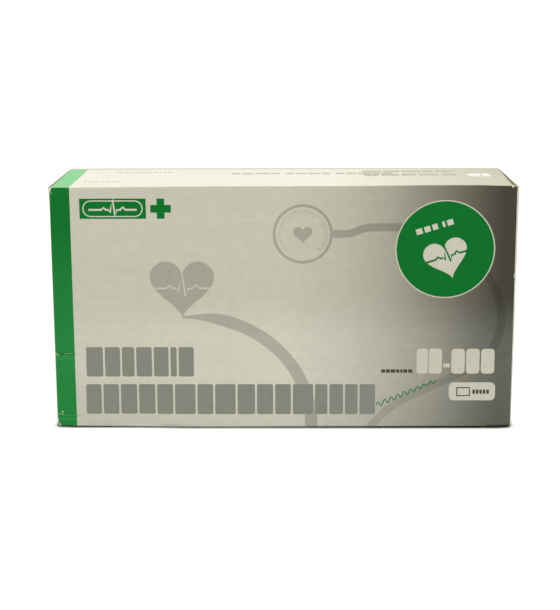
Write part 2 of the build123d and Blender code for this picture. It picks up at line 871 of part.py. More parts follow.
with BuildPart() as movement_base_plate:
    with BuildSketch(gauge_level(base_plate_height)):
        Circle(plate_radius)
        with Locations((pivot_offset, slot_place)):
            Rectangle(pin_window_width, pin_window_height, mode=Mode.SUBTRACT)
        with Locations((0, elbow_v)):
            Rectangle(inlet_block_width + 1, block_window_height, mode=Mode.SUBTRACT)
        with Locations((0, 0), (pivot_offset, pivot_rise)):
            Circle(arbor_radius + fit_gap, mode=Mode.SUBTRACT)
        with Locations(*post_places):
            Circle(screw_radius + fit_gap, mode=Mode.SUBTRACT)
    extrude(amount=plate_thick)
    lug_low = rocker_height - 2 * rocker_radius - 2 * fit_gap
    with BuildSketch(gauge_level(lug_low)):
        with Locations(*[(pivot_offset, place) for place in lug_places]):
            Rectangle(lug_width, lug_thick)
    extrude(amount=base_plate_height - lug_low)
    shaft_plane = Plane(
        origin=(gauge_back_x - rocker_height, gauge_y - pivot_offset, gauge_z + lug_places[0] - lug_thick),
        z_dir=(0, 0, 1),
    )
    with BuildSketch(shaft_plane):
        Circle(rocker_radius + fit_gap)
    extrude(amount=lug_places[1] - lug_places[0] + 2 * lug_thick, mode=Mode.SUBTRACT)
keep(movement_base_plate, "movement_base_plate")

with BuildPart() as movement_top_plate:
    with BuildSketch(gauge_level(top_plate_height)):
        Circle(top_plate_radius)
        with Locations((0, -top_plate_cut)):
            Rectangle(
                2 * top_plate_radius,
                2 * top_plate_radius,
                align=(Align.CENTER, Align.MIN),
                mode=Mode.INTERSECT,
            )
        with Locations((0, 0), (pivot_offset, pivot_rise)):
            Circle(arbor_radius + fit_gap, mode=Mode.SUBTRACT)
        with Locations(*pillar_places):
            Circle(screw_radius + fit_gap, mode=Mode.SUBTRACT)
    extrude(amount=plate_thick)
keep(movement_top_plate, "movement_top_plate")

def bored_studs(low, high, radius, places, depth):
    """Round studs between two heights, each with a screw hole of a depth in its top."""
    with BuildPart() as studs:
        with BuildSketch(gauge_level(low)):
            with Locations(*places):
                Circle(radius)
        extrude(amount=high - low)
        with BuildSketch(gauge_level(high)):
            with Locations(*places):
                Circle(screw_radius + fit_gap)
        extrude(amount=-depth, mode=Mode.SUBTRACT)
    return studs


def slotted_screws(*rows):
    """Slotted screws; each row is the face below their heads, the shanks' reach, and places."""
    with BuildPart() as screws:
        for face, reach, places in rows:
            with BuildSketch(gauge_level(face)):
                with Locations(*places):
                    Circle(screw_head)
            extrude(amount=screw_head_thick)
            with BuildSketch(gauge_level(face + screw_head_thick / 2)):
                with Locations(*places):
                    Rectangle(3 * screw_head, screw_slot)
            extrude(amount=screw_head_thick, mode=Mode.SUBTRACT)
            with BuildSketch(gauge_level(face)):
                with Locations(*places):
                    Circle(screw_radius)
            extrude(amount=-reach)
    return screws


movement_posts = bored_studs(case_floor, base_plate_height, post_radius, post_places, screw_depth)
keep(movement_posts, "movement_posts")

movement_pillars = bored_studs(
    base_face, top_plate_height, pillar_radius, pillar_places, screw_depth
)
keep(movement_pillars, "movement_pillars")

foot_depth = dial_height - top_face - 4 * fit_gap
dial_feet = bored_studs(top_face, dial_height, foot_radius, foot_places, foot_depth)
keep(dial_feet, "dial_feet")

shank_reach = plate_thick + screw_depth - fit_gap
movement_screws = slotted_screws(
    (base_face, shank_reach, post_places), (top_face, shank_reach, pillar_places)
)
keep(movement_screws, "movement_screws")

# The rocking shaft starts with its arm low and its pin leaning towards the dial's left
tilt = rocker_swing / 2
shaft_x = gauge_back_x - rocker_height
shaft_y = gauge_y - pivot_offset
across = (-sin(tilt), -cos(tilt), 0)
upright = (-cos(tilt), sin(tilt), 0)
pin_length = gear_height + gear_thick + lay_gap - rocker_height

with BuildPart() as rocking_shaft:
    shaft_low = lug_places[0] - lug_thick / 2 - lay_gap
    with BuildSketch(Plane(origin=(shaft_x, shaft_y, gauge_z + shaft_low), z_dir=(0, 0, 1))):
        Circle(rocker_radius)
    extrude(amount=lug_places[1] + lug_thick / 2 + lay_gap - shaft_low)
    with BuildSketch(Plane(origin=(shaft_x, shaft_y, gauge_z), x_dir=across, z_dir=(0, 0, -1))):
        Rectangle(pivot_offset + pad_pin, rocker_arm, align=(Align.MAX, Align.CENTER))
    extrude(amount=pad_pin, both=True)
    with BuildSketch(
        Plane(origin=(shaft_x, shaft_y, gauge_z + slot_place), x_dir=(0, 0, 1), z_dir=upright)
    ):
        Circle(rocker_pin)
    extrude(amount=pin_length)
keep(rocking_shaft, "rocking_shaft")


def gear_teeth(teeth, first_angle, count):
    """Points of a run of involute teeth, tooth by tooth, the first one centred on first_angle."""
    pitch_radius = gear_module * teeth / 2
    base_radius = pitch_radius * cos(radians(pressure_angle))
    tip_radius = pitch_radius + tooth_addendum
    root_radius = pitch_radius - 1.25 * gear_module
    pitch_half = pi / (2 * teeth) - tooth_play / (2 * pitch_radius)
    rolled = tan(radians(pressure_angle)) - radians(pressure_angle)
    flank = []
    for radius in (root_radius, (root_radius + pitch_radius) / 2, pitch_radius, tip_radius):
        contact = acos(min(1, base_radius / radius))
        flank.append((radius, pitch_half + rolled - (tan(contact) - contact)))
    points = []
    for tooth in range(count):
        centre = first_angle + 2 * pi * tooth / teeth
        for radius, half in flank:
            points.append((radius * cos(centre - half), radius * sin(centre - half)))
        for radius, half in reversed(flank):
            points.append((radius * cos(centre + half), radius * sin(centre + half)))
    return points


pivot_angle = degrees(asin(pivot_rise / centre_distance))
mesh_angle = radians(180 + pivot_angle)
tooth_step = 2 * pi / sector_teeth
first_tooth = mesh_angle - radians(sector_swing / 2) - (sector_teeth_cut - 1) / 2 * tooth_step
sector_radius = gear_module * sector_teeth / 2
window_half = degrees((sector_teeth_cut / 2 - 3) * tooth_step)
slot_angle = 270 - sector_swing / 2

with BuildPart() as sector_gear:
    sector_plane = gauge_level(gear_height).shift_origin(
        gauge_level(gear_height).from_local_coords((pivot_offset, pivot_rise, 0))
    )
    with BuildSketch(sector_plane):
        with BuildLine():
            Polyline((0, 0), *gear_teeth(sector_teeth, first_tooth, sector_teeth_cut), close=True)
        make_face()
        with BuildLine():
            middle = degrees(mesh_angle) - sector_swing / 2
            inner = CenterArc((0, 0), 0.36 * sector_radius, middle - window_half, 2 * window_half)
            outer = CenterArc((0, 0), 0.82 * sector_radius, middle - window_half, 2 * window_half)
            Line(inner @ 0, outer @ 0)
            Line(inner @ 1, outer @ 1)
        make_face(mode=Mode.SUBTRACT)
        Circle(sector_hub)
        with PolarLocations(slot_reach + fit_gap, 1, slot_angle):
            Rectangle(slot_length, slot_width, mode=Mode.SUBTRACT)
    extrude(amount=gear_thick)
    with BuildSketch(sector_plane.offset(-(gear_height - base_plate_height - lay_gap))):
        Circle(arbor_radius)
    extrude(amount=top_face - base_plate_height - 2 * lay_gap)
keep(sector_gear, "sector_gear")

pinion_thick = gear_thick + 2 * fit_gap
arbor_top = pointer_height + pointer_thick + fit_gap

with BuildPart() as pinion_arbor:
    with BuildSketch(gauge_level(gear_height - fit_gap)):
        with BuildLine():
            Polyline(*gear_teeth(pinion_teeth, radians(pivot_angle), pinion_teeth), close=True)
        make_face()
    extrude(amount=pinion_thick)
    with BuildSketch(gauge_level(base_plate_height + lay_gap)):
        Circle(arbor_radius)
    extrude(amount=arbor_top - base_plate_height - lay_gap)
    with BuildSketch(gauge_level(gear_height + pinion_thick)):
        Circle(2 * arbor_radius)
    extrude(amount=(top_plate_height - gear_height - pinion_thick) / 2)
keep(pinion_arbor, "pinion_arbor")

# Hairspring: half turns that grow by half a pitch each, ending in a stud under the top plate
spring_height = gear_height + gear_thick + 2 * lay_gap
spring_start = 2 * arbor_radius + lay_gap + hairspring_wire

with BuildPart() as hairspring:
    with BuildSketch(gauge_level(spring_height)):
        with BuildLine():
            for half_turn in range(2 * hairspring_turns):
                side = 1 if half_turn % 2 == 0 else -1
                near = side * (spring_start + hairspring_pitch / 2 * half_turn)
                far = -side * (spring_start + hairspring_pitch / 2 * (half_turn + 1))
                reach = (abs(near) + abs(far)) / 2
                ThreePointArc((near, 0), ((near + far) / 2, side * reach), (far, 0))
        trace(line_width=hairspring_wire)
    extrude(amount=2 * hairspring_wire)
    with BuildSketch(gauge_level(spring_height)):
        with Locations((spring_start + hairspring_pitch * hairspring_turns, 0)):
            Rectangle(3 * hairspring_wire, 3 * hairspring_wire)
    extrude(amount=top_plate_height - spring_height)
keep(hairspring, "hairspring")
print("hairspring gap between turns", round(hairspring_pitch - hairspring_wire, 2))

with BuildPart() as pointer:
    with BuildSketch(gauge_level(pointer_height) * Rotation(0, 0, 90 - pointer_start)):
        with BuildLine():
            Polyline(
                (-pointer_tail, pointer_tail_width / 2),
                (-pointer_tail, -pointer_tail_width / 2),
                (-pointer_tail / 2, -pointer_neck_width / 2),
                (pointer_length - 1, -pointer_tip_width / 2),
                (pointer_length, 0),
                (pointer_length - 1, pointer_tip_width / 2),
                (-pointer_tail / 2, pointer_neck_width / 2),
                close=True,
            )
        make_face()
        Circle(3 * arbor_radius)
    extrude(amount=pointer_thick)
    with BuildSketch(gauge_level(dial_height + dial_thick + lay_gap)):
        Circle(2.4 * arbor_radius)
    extrude(amount=pointer_height - dial_height - dial_thick - lay_gap)
    with BuildSketch(gauge_level(dial_height)):
        Circle(arbor_radius + fit_gap / 2)
    extrude(amount=gauge_thick - dial_height, mode=Mode.SUBTRACT)
keep(pointer, "pointer")

with BuildPart() as gauge_dial:
    with BuildSketch(gauge_level(dial_height)):
        Circle(dial_radius)
        Circle(arbor_radius + 4 * fit_gap, mode=Mode.SUBTRACT)
        with Locations(*foot_places):
            Circle(screw_radius + fit_gap, mode=Mode.SUBTRACT)
    extrude(amount=dial_thick)
keep(gauge_dial, "gauge_dial")

dial_face = dial_height + dial_thick
dial_screws = slotted_screws((dial_face, dial_thick + foot_depth - fit_gap, foot_places))
keep(dial_screws, "dial_screws")


# Stem, boot and coupling nut below the gauge

with BuildPart() as inlet_stem:
    barb_start = nut_bottom + lay_gap
    with BuildSketch(stem_section):
        with BuildLine():
            Polyline(
                (block_reach, barb_bore),
                (block_reach, stem_radius),
                (barb_start, stem_radius),
                *barb_outline(barb_start, 1),
                close=True,
            )
        make_face()
    revolve(axis=stem_axis)
keep(inlet_stem, "inlet_stem")

with BuildPart() as gauge_boot:
    boot_top = -sqrt(case_radius**2 - (boot_top_width / 2) ** 2)
    with BuildSketch(gauge_level(boot_low)) as outline:
        with BuildLine():
            Polyline(
                (-boot_top_width / 2, boot_top),
                (boot_top_width / 2, boot_top),
                (boot_waist_width / 2, -gauge_radius - boot_length / 2),
                (boot_end_width / 2, -boot_bottom),
                (-boot_end_width / 2, -boot_bottom),
                (-boot_waist_width / 2, -gauge_radius - boot_length / 2),
                close=True,
            )
        make_face()
        fillet(outline.vertices().sort_by(Axis.Y)[2:4], 3 * boot_corner)
        fillet(outline.vertices().sort_by(Axis.Y)[:2], boot_corner)
    extrude(amount=boot_high - boot_low)
    fillet(gauge_boot.faces().sort_by(Axis.X)[-1].edges(), boot_corner / 2)
    with BuildSketch(gauge_level(0)):
        Circle(case_radius + fit_gap)
    extrude(amount=boot_high + boot_low, mode=Mode.SUBTRACT)
    with BuildSketch(Plane(origin=(stem_x, gauge_y, gauge_z), z_dir=(0, 0, -1))):
        Circle(stem_radius + fit_gap)
    extrude(amount=boot_bottom, mode=Mode.SUBTRACT)
keep(gauge_boot, "gauge_boot")

with BuildPart() as coupling_nut:
    nut_plane = Plane(origin=(stem_x, gauge_y, gauge_z - nut_bottom), z_dir=(0, 0, 1))
    with BuildSketch(nut_plane):
        Circle(nut_radius)
        with PolarLocations(nut_radius, nut_grooves):
            Circle(groove_radius, mode=Mode.SUBTRACT)
    extrude(amount=nut_length)
    with BuildSketch(nut_plane):
        Circle(stem_radius + fit_gap)
    extrude(amount=nut_length, mode=Mode.SUBTRACT)
keep(coupling_nut, "coupling_nut")


# Hoses: straight runs joined by tangent arcs, folded into the room that the bulb and cuff leave

hose_left_x = gauge_back_x + gauge_hose_gap + hose_radius
riser_x = hose_left_x + 3 * hose_radius
hose_low_z = board + lay_gap + hose_radius
hose_high_z = inside_top_z - lay_gap - hose_radius
hose_front_y = inside_front_y + lay_gap + hose_radius
cuff_port_x = cuff_left_x - lay_gap


def on_bulb(shift, lift):
    """Height of a hose that lies above the bulb, shifted from its axis, with some room below."""
    return bulb_z + sqrt((bulb_radius + hose_radius + lay_gap) ** 2 - shift**2) + lift


def bend_radii(points, first_straight, last_straight):
    """Radius of each bend: what its two runs leave after the straights at the hose's ends."""
    runs = [Vector(*end) - Vector(*start) for start, end in zip(points, points[1:])]
    shares = [bend_share * run.length for run in runs]
    shares[0] = runs[0].length - first_straight
    shares[-1] = runs[-1].length - last_straight
    radii = []
    for place in range(len(runs) - 1):
        turn = radians(runs[place].get_angle(runs[place + 1]))
        tangent = min(shares[place], shares[place + 1])
        radii.append(min(largest_bend, tangent / tan(turn / 2)))
    return radii


gauge_hose_points = (
    (stem_x, gauge_y, hose_top_z),
    (stem_x, gauge_y, hose_low_z),
    (riser_x, hose_front_y, hose_low_z),
    (riser_x, hose_front_y, hose_high_z),
    (hose_right_x, bulb_y + high_run_shift, hose_high_z),
    (hose_right_x, bulb_y + front_run_shift, on_bulb(front_run_shift, front_run_lifts[1])),
    (hose_left_x, bulb_y + front_run_shift, on_bulb(front_run_shift, front_run_lifts[0])),
    (hose_left_x, port_y, gauge_port_z),
    (cuff_port_x, port_y, gauge_port_z),
)
bulb_hose_points = (
    (valve_end_x + lay_gap, bulb_y, bulb_z),
    (hose_right_x, bulb_y, bulb_z),
    (hose_right_x, bulb_y + back_run_shift, on_bulb(back_run_shift, back_run_lifts[1])),
    (hose_left_x, bulb_y + back_run_shift, on_bulb(back_run_shift, back_run_lifts[0])),
    (hose_left_x, port_y, bulb_port_z),
    (cuff_port_x, port_y, bulb_port_z),
)
gauge_hose_radii = bend_radii(gauge_hose_points, sleeve_length + lay_gap, port_straight)
bulb_hose_radii = bend_radii(bulb_hose_points, sleeve_length + lay_gap, port_straight)


def hose_tube(name, points, radii):
    """Sweep a hose along its route, write it, and print how long it is."""
    with BuildPart() as hose:
        with BuildLine() as route:
            FilletPolyline(*points, radius=radii)
        with BuildSketch(Plane(origin=route.line @ 0, z_dir=route.line % 0)):
            Circle(hose_radius)
            Circle(hose_bore, mode=Mode.SUBTRACT)
        sweep()
    keep(hose, name)
    length = sum(edge.length for edge in route.edges())
    wall = pi * (hose_radius**2 - hose_bore**2)
    print(name, "length", round(length, 1), "volume ratio", round(hose.part.volume / (wall * length), 4))


hose_tube("gauge_hose", gauge_hose_points, gauge_hose_radii)
hose_tube("bulb_hose", bulb_hose_points, bulb_hose_radii)
print("hose bends", [round(radius, 1) for radius in gauge_hose_radii + bulb_hose_radii])


def end_sleeve(name, plane):
    """Thick rubber sleeve round a hose's end."""
    with BuildPart() as sleeve:
        with BuildSketch(plane):
            Circle(sleeve_radius)
            Circle(hose_radius + fit_gap, mode=Mode.SUBTRACT)
        extrude(amount=sleeve_length)
        fillet(sleeve.edges().filter_by(GeomType.CIRCLE).sort_by(SortBy.RADIUS)[-2:], 0.6)
    keep(sleeve, name)


end_sleeve("gauge_hose_sleeve", Plane(origin=gauge_hose_points[0], z_dir=(0, 0, -1)))
end_sleeve("bulb_hose_sleeve", Plane(origin=bulb_hose_points[0], z_dir=(1, 0, 0)))
print("cuff length", round(cuff_length, 1))
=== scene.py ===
import bpy
import bmesh
from math import ceil, cos, hypot, pi, radians, sin, sqrt
from random import Random
from mathutils import Matrix, Vector, noise
from mathutils.geometry import delaunay_2d_cdt


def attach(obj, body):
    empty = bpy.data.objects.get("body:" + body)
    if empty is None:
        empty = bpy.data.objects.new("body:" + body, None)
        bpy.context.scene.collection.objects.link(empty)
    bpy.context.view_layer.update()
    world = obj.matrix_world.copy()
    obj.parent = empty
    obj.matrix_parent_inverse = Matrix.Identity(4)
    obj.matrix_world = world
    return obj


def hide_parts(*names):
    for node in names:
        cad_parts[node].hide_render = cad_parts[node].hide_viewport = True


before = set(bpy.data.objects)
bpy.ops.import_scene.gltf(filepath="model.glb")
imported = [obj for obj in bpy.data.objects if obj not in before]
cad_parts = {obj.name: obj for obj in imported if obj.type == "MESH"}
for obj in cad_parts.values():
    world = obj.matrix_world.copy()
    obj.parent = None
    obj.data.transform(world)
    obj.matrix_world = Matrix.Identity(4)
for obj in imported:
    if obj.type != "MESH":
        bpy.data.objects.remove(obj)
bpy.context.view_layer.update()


def set_out(name, data):
    """A new object that holds some data, linked to the scene."""
    made = bpy.data.objects.new(name, data)
    bpy.context.scene.collection.objects.link(made)
    return made


def declare(piece, body, slot, *nodes):
    """Say which body a piece rides on and which CAD nodes it stands for, which are hidden; the slot for what it is made
    of is not used.
    """
    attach(piece, body)
    if nodes:
        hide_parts(*nodes)


def steps(start, span, count):
    """Even steps from a start over a span, both ends among them."""
    return [start + span * n / count for n in range(count + 1)]


def crossed(columns, rows):
    """Every pair of a column and a row."""
    return [(x, s) for x in columns for s in rows]


# The camera stands in front of the carton, a little above it, with a long lens.
# Its place was fitted to the carton's corners in the photograph.
camera_place = Vector((0.007745, -0.694583, 0.206419))
camera_turn, camera_dip, camera_roll = radians(0.793), radians(-12.638), radians(-0.216)
camera = set_out("camera", bpy.data.cameras.new("camera"))
camera.data.sensor_width = 36
camera.data.lens = 87.6
camera.data.clip_start, camera.data.clip_end = 0.01, 50
ahead = Vector((-sin(camera_turn) * cos(camera_dip), cos(camera_turn) * cos(camera_dip), sin(camera_dip)))
across = Vector((cos(camera_turn), sin(camera_turn), 0))
upward = across.cross(ahead)
rightward = across * cos(camera_roll) + upward * sin(camera_roll)
upright = upward * cos(camera_roll) - across * sin(camera_roll)
camera.matrix_world = Matrix.Translation(camera_place) @ Matrix((rightward, upright, -ahead)).transposed().to_4x4()
bpy.context.scene.camera = camera
bpy.context.scene.view_settings.view_transform = "Standard"


def add(near, kind, values=None, **settings):
    """A node of a kind, in the tree that is given or that holds the given node or socket. Its inputs
    are set to numbers or joined to other nodes' outputs."""
    tree = near.id_data
    made = tree.nodes.new(kind)
    for name, value in settings.items():
        setattr(made, name, value)
    for name, value in (values or {}).items():
        if isinstance(value, bpy.types.NodeSocket):
            tree.links.new(value, made.inputs[name])
        else:
            made.inputs[name].default_value = value
    return made


def first_socket(*values):
    """The first of some values that is another node's output."""
    return next(value for value in values if isinstance(value, bpy.types.NodeSocket))


def maths(operation, *values):
    """The result of one Math node; at least one value is another node's output."""
    return add(first_socket(*values), "ShaderNodeMath", dict(enumerate(values)), operation=operation).outputs[0]


def emptied(holder):
    """The node tree of a material or a world, with nothing in it yet."""
    holder.use_nodes = True
    holder.node_tree.nodes.clear()
    return holder.node_tree


def seen_plainly(tree):
    """1 for rays that come from the camera, straight or by a mirror or through glass, and 0 for the rest."""
    ray = add(tree, "ShaderNodeLightPath").outputs
    direct = maths("MAXIMUM", ray["Is Camera Ray"], ray["Is Glossy Ray"])
    return maths("MAXIMUM", direct, ray["Is Transmission Ray"])


def finished_mesh(name, shape, *materials):
    """A mesh made from a bmesh that is done with, and its materials."""
    mesh = bpy.data.meshes.new(name)
    shape.to_mesh(mesh)
    shape.free()
    for material in materials:
        mesh.materials.append(material)
    return mesh


# The studio: a pale floor that keeps the shadow, darkest where things touch it, a white surround,
# a broad lamp before the front, and a weaker one at each side and behind, which the top doesn't mirror.
half = 3.0
contact_reach, contact_power, floor_glow, ambient = 0.0025, 3.0, 0.78, 0.5
floor_mesh = bpy.data.meshes.new("floor")
floor_mesh.from_pydata([(-half, -half, 0), (half, -half, 0), (half, half, 0), (-half, half, 0)], [], [(0, 1, 2, 3)])
set_out("floor", floor_mesh)
floor_finish = bpy.data.materials.new("pale floor")
tree = emptied(floor_finish)
plainly = seen_plainly(tree)
matt = add(tree, "ShaderNodeBsdfDiffuse", {"Color": (0.45, 0.45, 0.44, 1)})
open_sky = add(tree, "ShaderNodeAmbientOcclusion", {"Distance": contact_reach}).outputs["AO"]
even_glow = maths("MULTIPLY", plainly, floor_glow)
glow = maths("MULTIPLY", even_glow, maths("POWER", open_sky, contact_power))
lifted = add(tree, "ShaderNodeEmission", {"Color": (1, 1, 1, 1), "Strength": glow})
both = add(tree, "ShaderNodeAddShader", {0: matt.outputs[0], 1: lifted.outputs[0]})
add(tree, "ShaderNodeOutputMaterial", {"Surface": both.outputs[0]})
floor_mesh.materials.append(floor_finish)

surround = bpy.data.worlds.new("surround")
bpy.context.scene.world = surround
tree = emptied(surround)
strength = maths("ADD", ambient, maths("MULTIPLY", seen_plainly(tree), 1 - ambient))
light = add(tree, "ShaderNodeBackground", {"Color": (1, 1, 1, 1), "Strength": strength})
add(tree, "ShaderNodeOutputWorld", {"Surface": light.outputs[0]})

for lamp_name, lamp_place, lamp_size, lamp_power in (
    ("lamp front", (-0.25, -1.35, 0.65), 1.0, 10.5),
    ("lamp left", (-1.35, -0.35, 0.32), 0.8, 7.0),
    ("lamp right", (1.35, -0.35, 0.32), 0.8, 7.0),
    ("lamp behind", (0.2, 1.35, 0.75), 0.9, 11.0),
):
    lamp = set_out(lamp_name, bpy.data.lights.new(lamp_name, "AREA"))
    lamp.data.size = lamp_size
    lamp.data.energy = lamp_power
    lamp.visible_glossy = lamp_name != "lamp behind"
    aim = (-Vector(lamp_place)).to_track_quat("-Z", "Y")
    lamp.matrix_world = Matrix.Translation(lamp_place) @ aim.to_matrix().to_4x4()


# The sleeve of the carton: one sheet of 0.5 mm board, printed on one side, creased at four folds and
# glued along the bottom of the back. It has soft folds, bruises in its green band and worn corners.
mm = 0.001
width, depth, height = 210.0, 67.6, 112.4
board = 0.5
fold = 0.6
half_width, half_depth = width / 2, depth / 2
girth = 2 * (depth + height)
front_foot, front_head = depth, depth + height
top_back = front_head + depth
band_edge = -96.0
crease_x = 104.3
sheet_end = crease_x + board * pi / 2
fold_lines = (0.0, front_foot, front_head, top_back, girth)
bruises = ((35.6, 2.6), (6.0, 1.8))


def around(s):
    """Where a distance round the sleeve lies: y, z and the outward way there, folds rounded."""
    corners = (
        (0.0, half_depth, 0.0, (1, 0), (0, -1)),
        (front_foot, -half_depth, 0.0, (0, -1), (-1, 0)),
        (front_head, -half_depth, height, (-1, 0), (0, 1)),
        (top_back, half_depth, height, (0, 1), (1, 0)),
        (girth, half_depth, 0.0, (1, 0), (0, -1)),
    )
    for line, y, z, before, after in corners:
        if abs(s - line) < fold:
            turn = (s - line + fold) / (2 * fold) * pi / 2
            way = [before[i] * cos(turn) + after[i] * sin(turn) for i in (0, 1)]
            return (y - fold * (before[0] + after[0]) + fold * way[0],
                    z - fold * (before[1] + after[1]) + fold * way[1], *way)
    if s < front_foot:
        return half_depth - s, 0.0, 0.0, -1.0
    if s < front_head:
        return -half_depth, s - front_foot, -1.0, 0.0
    if s < top_back:
        return s - front_head - half_depth, height, 0.0, 1.0
    return half_depth, height - (s - top_back), 1.0, 0.0


def ease(low, high, value):
    """0 below low, 1 above high, and smooth between."""
    share = min(1, max(0, (value - low) / (high - low)))
    return share * share * (3 - 2 * share)


def sunk(x, s):
    """How far the sheet lies inside its flat place: a slight bow, waves at the ends, and the bruises."""
    line = min(fold_lines, key=lambda f: abs(s - f))
    from_fold = ease(0.6, 14, abs(s - line))
    bow = 0.16 * from_fold * (1 - (x / half_width) ** 2)
    wave = 0.07 * from_fold * (1 + noise.noise(Vector((x / 23, s / 19, 3.7))))
    depth_here = bow + wave
    z = s - front_foot
    near_end = ease(band_edge + 3.5, band_edge - 2.5, x)
    if 0 < z < height and near_end > 0:
        for place, reach in bruises:
            pucker = 0.9 * noise.noise(Vector((x / 2.1, place, 1.3)))
            dent = max(0, 1 - abs(z - place - pucker + 1.1) / reach)
            ridge = max(0, 1 - abs(z - place - pucker - 0.5) / 0.8)
            depth_here += near_end * (0.8 * dent * dent - 0.12 * ridge)
    low_corner = ease(9, 0, z) * ease(-96, -105, x) if abs(z) < 12 else 0
    rolled = 0.22 * ease(half_width - 0.9, half_width, abs(x)) if 0 < z < height else 0
    return max(0.0, depth_here + 0.5 * low_corner + rolled)


def drawn_in(x, s):
    """How far the front's left end is pushed in along X, where its low corner is crushed."""
    z = s - front_foot
    return 0.8 * ease(6, 0, z) * ease(-99, -105, x) if -6 < z < 6 else 0.0


def bowed(x, s):
    """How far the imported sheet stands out, in mm: its foot comes forward and the front of its top rises."""
    forward = (0.2 + 0.9 * ease(-68, -44, x)) * ease(-105, -96, x) * ease(106, 98, x)
    rise = 0.12 + 0.5 * ease(-105, -20, x) + 0.3 * ease(30, 66, x) - 0.35 * ease(85, 104, x)
    rise *= 1 - ease(96, 102, abs(x)) * ease(0, 4, s - front_head)
    above = ease(60 if s > front_head else 6, 0, abs(s - front_head))
    return forward * ease(30, 0, abs(s - front_foot)), rise * above


def on_sheet(x, s):
    """A point of the sheet, in metres. Ends of the top and bottom bend over into the dust flaps."""
    s %= girth
    y, z, way_y, way_z = around(s)
    forward, rise = bowed(x, s)
    y, z = y - forward, z + rise
    down = sunk(x, s)
    over = abs(x) - crease_x
    if over > 0 and abs(way_z) > 0.99:
        turn = min(over / board, pi / 2)
        side = 1 if x > 0 else -1
        return Vector((side * (crease_x + board * sin(turn)), y, z - way_z * board * (1 - cos(turn)))) * mm
    x = max(-half_width, min(half_width, x + drawn_in(x, s)))
    return Vector((x, y - way_y * down, z - way_z * down)) * mm


prints = []


def ink(name, *outlines, panel=front_foot):
    """Lay outlines of one ink on a panel, each a list of (x, height on the panel) points."""
    for outline in outlines:
        prints.append((name, [(x, panel + v) for x, v in outline]))


def blocks(left, right, low, high, widths, gap=1.0):
    """Plain blocks side by side in a row, their widths in the given proportions."""
    room = right - left - gap * (len(widths) - 1)
    made, x = [], left
    for share in widths:
        wide = room * share / sum(widths)
        made.append([(x, low), (x + wide, low), (x + wide, high), (x, high)])
        x += wide + gap
    return made


def oval(x, z, radius, tall=None, points=72, start=0, sweep=360):
    """Points round a circle or an ellipse, or along a part of one."""
    tall = tall or radius
    ways = [radians(start + sweep * n / points) for n in range(points if sweep == 360 else points + 1)]
    return [(x + radius * cos(way), z + tall * sin(way)) for way in ways]


def rounded(left, right, low, high, radius):
    """A rectangle with round corners."""
    made = []
    for x, z, start in ((right - radius, high - radius, 0), (left + radius, high - radius, 90),
                        (left + radius, low + radius, 180), (right - radius, low + radius, 270)):
        made += oval(x, z, radius, points=8, start=start, sweep=90)
    return made


def soft_blocks(left, right, low, high, widths, gap, corner):
    """Plain blocks in a row with round corners."""
    return [rounded(b[0][0], b[1][0], b[0][1], b[2][1], corner) for b in blocks(left, right, low, high, widths, gap)]


def ribbon(path, full, start=None, growth=8):
    """The outline of a line of some thickness along a path; it may grow to it from a thin start."""
    left, right = [], []
    for n, (x, z) in enumerate(path):
        thick = full if start is None else start + (full - start) * ease(0, growth, n)
        back, on = path[max(0, n - 1)], path[min(len(path) - 1, n + 1)]
        dx, dz = on[0] - back[0], on[1] - back[1]
        long = hypot(dx, dz)
        left.append((x - dz / long * thick / 2, z + dx / long * thick / 2))
        right.append((x + dz / long * thick / 2, z - dx / long * thick / 2))
    return left + right[::-1]


def softened(path):
    """A path with its corners cut until it runs smoothly."""
    for _ in range(3):
        cut = [path[0]]
        for (x, z), (x_on, z_on) in zip(path, path[1:]):
            cut += [(a * x + (1 - a) * x_on, a * z + (1 - a) * z_on) for a in (0.75, 0.25)]
        path = cut + [path[-1]]
    return path


def placed(outline, x, z, scale=1.0, turn=0.0):
    """An outline scaled, turned by degrees and moved."""
    c, s = cos(radians(turn)) * scale, sin(radians(turn)) * scale
    return [(x + c * u - s * v, z + s * u + c * v) for u, v in outline]


def strip_between(inner, outer):
    """The band between two outlines with as many points, as a row of four-sided pieces."""
    count = len(outer)
    return [[inner[n], outer[n], outer[(n + 1) % count], inner[(n + 1) % count]] for n in range(count)]


def ring_strip(x, z, radius, thick, points=72):
    """A ring as a row of four-sided pieces."""
    return strip_between(oval(x, z, radius - thick, points=points), oval(x, z, radius, points=points))


heart = [(0.95 * sin(t) ** 3, 0.1 + (13 * cos(t) - 5 * cos(2 * t) - 2 * cos(3 * t) - cos(4 * t)) / 17)
         for t in (2 * pi * n / 60 for n in range(60))]
pulse = [(-1.6, 0), (-0.75, 0), (-0.6, 0.14), (-0.45, 0), (-0.3, 0), (-0.18, -0.2), (0, 0.75), (0.16, -0.42),
         (0.3, 0), (0.5, 0), (0.68, 0.18), (0.85, 0), (1.6, 0)]

# The band and the picture printed in a tone of the ground. Inks that reach an end run on past it.
past = half_width + 1
gauge_x, gauge_z, scale_radius = 9, 91, 11.2
far_hose = [(90, 76), (98, 64), (100.4, 50), (96, 36), (84, 27), (66, 19), (50, 11), (41, 2), (40, -0.5)]
ink("band", [(-past, -1), (band_edge, -1), (band_edge, girth + 1), (-past, girth + 1)], panel=0)
ink("soft tone", ribbon(softened(far_hose), 3.8))
ink("tone", placed(heart, -46, 66, 15.5))
ink("tone", ribbon(oval(-41, 1, 54, 51.6, points=40, start=95.5, sweep=-97), 5.6, 1.2, 9))
ink("tone", *ring_strip(gauge_x, gauge_z, 13.6, 1.3))
for tick in range(40):
    way = radians(-45 + 270 * tick / 39)
    ends = (scale_radius, scale_radius - (2.4 if tick % 5 == 0 else 1.3))
    ink("tone", ribbon([(gauge_x + r * cos(way), gauge_z + r * sin(way)) for r in ends], 0.3))
ink("tone", placed(heart, gauge_x, 90.6, 4.6))
